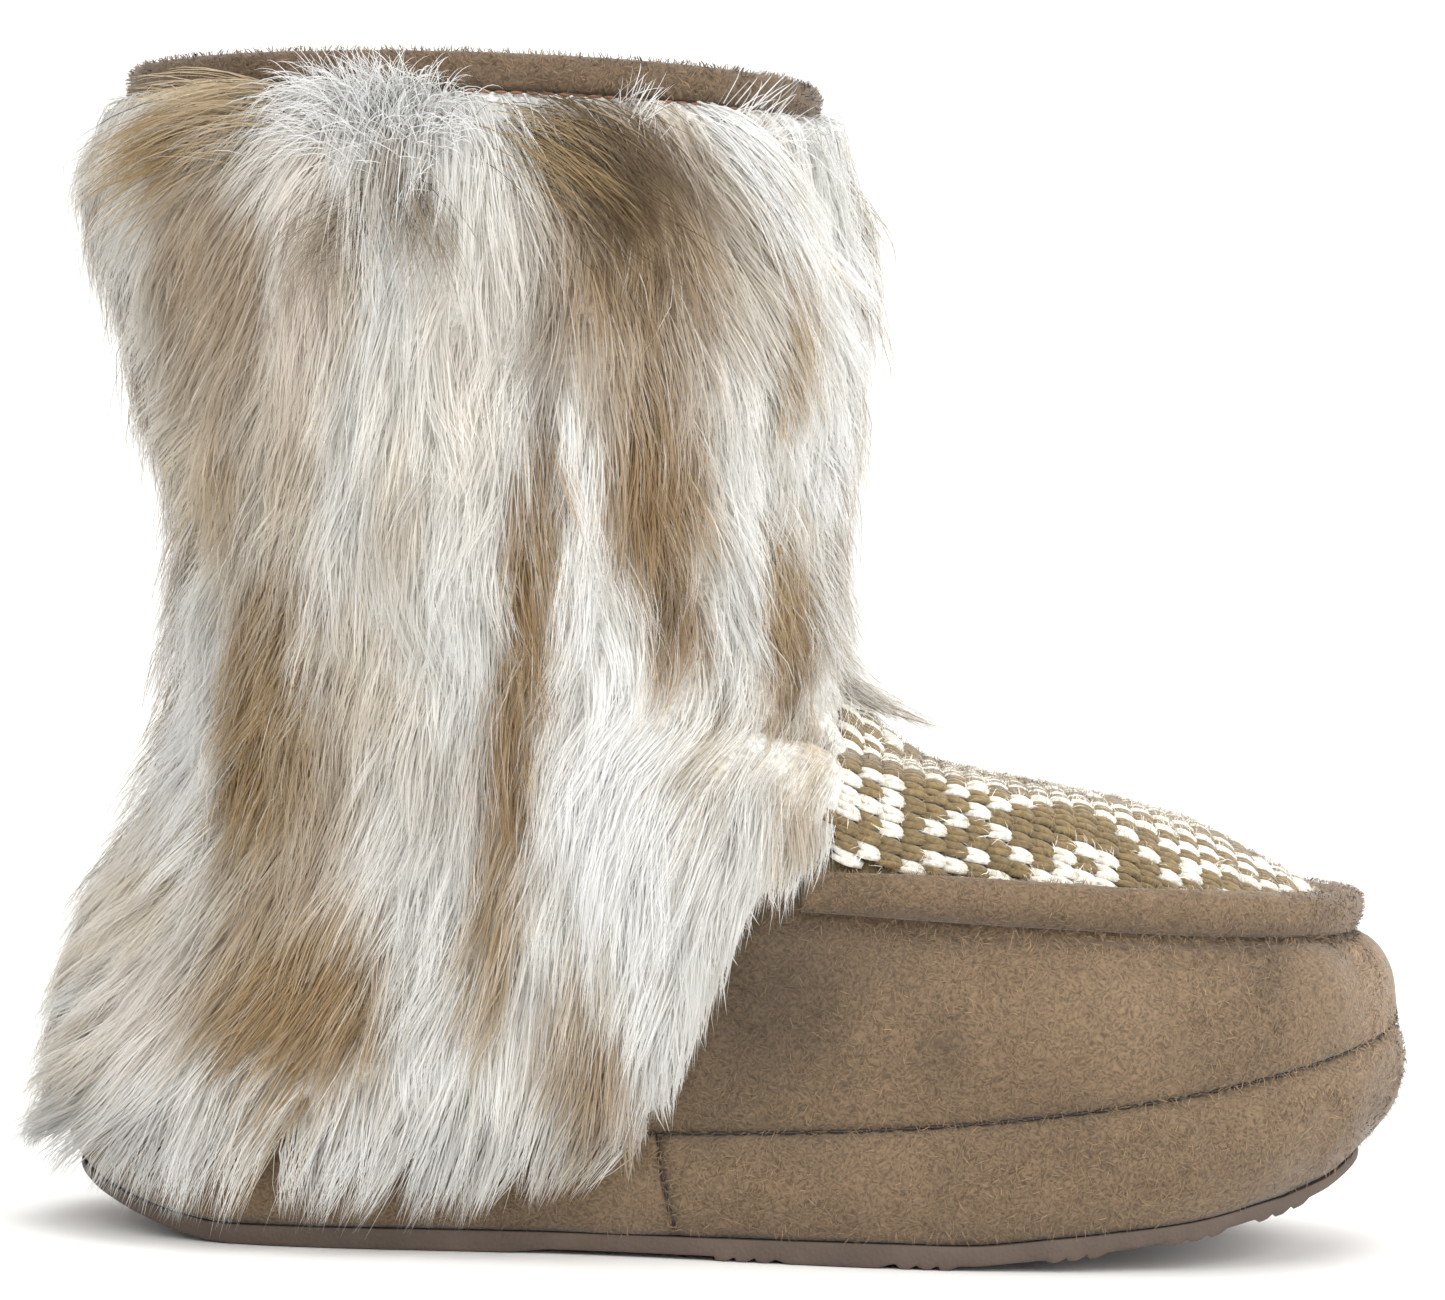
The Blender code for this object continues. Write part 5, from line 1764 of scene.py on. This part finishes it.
Light = namedtuple("Light", "name place size power")
LIGHTS = tuple(Light(*row) for row in (
    ("key", (-0.7, -1.6, 1.5), 1.6, 22),
    ("fill", (1.5, -1.2, 0.9), 1.6, 34),
    ("top", (0.1, 0.1, 1.7), 1.4, 13),
    ("back", (0.4, 1.5, 1.1), 1.2, 7),
))
AIM = (0.09, 0.0, 0.11)
ROOM_LIGHT = 0.75


def make_lights():
    for item in LIGHTS:
        lamp = bpy.data.lights.new(item.name, "AREA")
        lamp.shape = "SQUARE"
        lamp.size = item.size
        lamp.energy = item.power
        made = bpy.data.objects.new(item.name, lamp)
        made.location = item.place
        made.rotation_euler = (Vector(AIM) - Vector(item.place)).to_track_quat("-Z", "Y").to_euler()
        bpy.context.scene.collection.objects.link(made)
    world = bpy.data.worlds.new("studio")
    world.use_nodes = True
    back = world.node_tree.nodes["Background"]
    back.inputs["Color"].default_value = (1, 1, 1, 1)
    back.inputs["Strength"].default_value = ROOM_LIGHT
    bpy.context.scene.world = world
    bpy.context.scene.view_settings.view_transform = "Standard"


def make_camera():
    lens = bpy.data.cameras.new("photo_camera")
    lens.sensor_width = SENSOR
    lens.lens = FOCAL_PIXELS / PHOTO_WIDTH * SENSOR
    lens.shift_y = -DROP_PIXELS / PHOTO_WIDTH
    camera = bpy.data.objects.new("photo_camera", lens)
    turn = Matrix.Rotation(math.radians(90), 4, "X") @ Matrix.Rotation(math.radians(CAMERA_ROLL), 4, "Z")
    camera.matrix_world = Matrix.Translation(CAMERA_PLACE) @ turn
    bpy.context.scene.collection.objects.link(camera)
    bpy.context.scene.camera = camera


# Fibres in each finish
BAND_FIBRES = 14000
VAMP_FIBRES = 14000
ROLL_FIBRES = 5000
CUFF_FIBRES = 13000
KNIT_FIBRES = 14000
FUR_LOCKS = 4400
CROWN_HAIRS = 5200

# Operators, one for each piece or group of like pieces


def finish_of(name, make):
    """A finish by its name, made the first time that a piece asks for it."""
    return bpy.data.materials.get(name) or make(name)


def yarn_material(name):
    """Fuzzy wool-blend yarn, spun thick and soft, with flecks along it."""
    return tinted_material(name, 0.9, 0.0006, 0.0003, sheen_weight=0.3)


def nap_material(name):
    """Fine cut fibres of brushed cloth."""
    return tinted_material(name, 0.85, 0.0, 0.0, sheen_weight=0.2)


def hair_material(name):
    """Long silky acrylic hairs: soft gloss, and some light comes through."""
    return tinted_material(name, 0.55, 0.0, 0.0, 0.46, sheen_weight=0.15, specular_ior_level=0.35)


def wool_material(name):
    """Dense short wool of the fur cloth."""
    return tinted_material(name, 0.95, 0.0008, 0.0006)


class BOOTIE_OT_sole(Operator):
    """Make the rubber sole and the fleece footbed"""

    bl_idname = "bootie.sole"
    bl_label = "Sole and Footbed"

    def execute(self, context):
        make_rubber_sole(finish_of("moulded_rubber", rubber_material))
        make_fleece_footbed(finish_of("curly_fleece", fleece_material))
        return {"FINISHED"}


class BOOTIE_OT_band(Operator):
    """Make the two halves of the padded band, its seam threads and its nap"""

    bl_idname = "bootie.band"
    bl_label = "Band"

    def execute(self, context):
        suede = finish_of("brushed_suede", suede_material)
        make_band_cover("band_front", suede, True)
        make_band_cover("band_rear", suede, False)
        make_seam_threads(thread_material("seam_thread", colours().seam_thread))
        grow_nap("band_nap", finish_of("suede_nap", nap_material), np.random.default_rng(2),
                 hairs(BAND_FIBRES), band_places, sizes().nap_length, 0.00016, 0.00045)
        return {"FINISHED"}


class BOOTIE_OT_upper(Operator):
    """Make the suede upper, its nap and its fleece lining"""

    bl_idname = "bootie.upper"
    bl_label = "Upper and Lining"

    def execute(self, context):
        make_suede_upper(finish_of("brushed_suede", suede_material))
        make_lining(finish_of("curly_fleece", fleece_material))
        grow_nap("vamp_nap", finish_of("suede_nap", nap_material), np.random.default_rng(3),
                 hairs(VAMP_FIBRES), vamp_places, sizes().nap_length, 0.00016, 0.00045)
        return {"FINISHED"}


class BOOTIE_OT_roll(Operator):
    """Make the rolled seam round the knitted panel, with its nap"""

    bl_idname = "bootie.roll"
    bl_label = "Rolled Seam"

    def execute(self, context):
        make_roll(finish_of("brushed_suede", suede_material))
        grow_nap("roll_nap", finish_of("suede_nap", nap_material), np.random.default_rng(4),
                 hairs(ROLL_FIBRES), roll_places, sizes().nap_length * 0.76, 0.00016, 0.0005)
        return {"FINISHED"}


class BOOTIE_OT_cuff(Operator):
    """Make the brushed cuff, its pile and the thread under it"""

    bl_idname = "bootie.cuff"
    bl_label = "Cuff"

    def execute(self, context):
        make_binding(finish_of("brushed_suede", suede_material))
        make_cuff_thread(thread_material("cuff_thread", colours().cuff_thread))
        grow_nap("cuff_pile", finish_of("suede_nap", nap_material),
                 np.random.default_rng(5), hairs(CUFF_FIBRES), cuff_places, sizes().pile_length,
                 0.00022, 0.0009)
        return {"FINISHED"}


class BOOTIE_OT_knit(Operator):
    """Make the knitted panel stitch by stitch, with its ground and its fuzz"""

    bl_idname = "bootie.knit"
    bl_label = "Knitted Panel"

    def execute(self, context):
        make_knit(finish_of("wool_yarn", yarn_material), finish_of("brushed_suede", suede_material))
        grow_nap("knit_fuzz", finish_of("suede_nap", nap_material), np.random.default_rng(6),
                 hairs(KNIT_FIBRES), knit_places, 0.0024, 0.00011, 0.0011)
        return {"FINISHED"}


class BOOTIE_OT_fur(Operator):
    """Make the long fur in layers, its cloth, its crown under the cuff and its tufts"""

    bl_idname = "bootie.fur"
    bl_label = "Long Fur"

    def execute(self, context):
        chance = np.random.default_rng(7)
        hair = finish_of("acrylic_fur", hair_material)
        clumps = clump_fur(chance, FUR_LOCKS)
        make_fur_cloth(finish_of("fur_wool", wool_material))
        for layer in FUR_LAYERS:
            grow_fur(layer, hair, chance, clumps)
        make_crown(hair, chance, hairs(CROWN_HAIRS))
        make_tufts(hair, chance)
        return {"FINISHED"}


class BOOTIE_OT_stage(Operator):
    """Make the pale floor, the soft lights and the photo's camera"""

    bl_idname = "bootie.stage"
    bl_label = "Stage"

    def execute(self, context):
        make_floor()
        make_lights()
        make_camera()
        return {"FINISHED"}


OPERATORS = (
    BOOTIE_OT_sole,
    BOOTIE_OT_band,
    BOOTIE_OT_upper,
    BOOTIE_OT_roll,
    BOOTIE_OT_cuff,
    BOOTIE_OT_knit,
    BOOTIE_OT_fur,
    BOOTIE_OT_stage,
)


class BOOTIE_PT_parts(Panel):
    """Lists the bootie's sizes, colours and parts"""

    bl_label = "Slipper Bootie"
    bl_space_type = "VIEW_3D"
    bl_region_type = "UI"
    bl_category = "Bootie"

    def draw(self, context):
        for group in (context.scene.bootie_sizes, context.scene.bootie_colours):
            column = self.layout.column()
            for name in group.__annotations__:
                column.prop(group, name)
        for operator in OPERATORS:
            self.layout.operator(operator.bl_idname)


CLASSES = (BootieSizes, BootieColours, *OPERATORS, BOOTIE_PT_parts)


def register():
    for item in CLASSES:
        bpy.utils.register_class(item)
    bpy.types.Scene.bootie_sizes = PointerProperty(type=BootieSizes)
    bpy.types.Scene.bootie_colours = PointerProperty(type=BootieColours)


def unregister():
    del bpy.types.Scene.bootie_colours
    del bpy.types.Scene.bootie_sizes
    for item in reversed(CLASSES):
        bpy.utils.unregister_class(item)


def main():
    """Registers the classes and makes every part."""
    register()
    bpy.ops.bootie.sole()
    bpy.ops.bootie.band()
    bpy.ops.bootie.upper()
    bpy.ops.bootie.roll()
    bpy.ops.bootie.cuff()
    bpy.ops.bootie.knit()
    bpy.ops.bootie.fur()
    bpy.ops.bootie.stage()


if __name__ == "__main__":
    main()
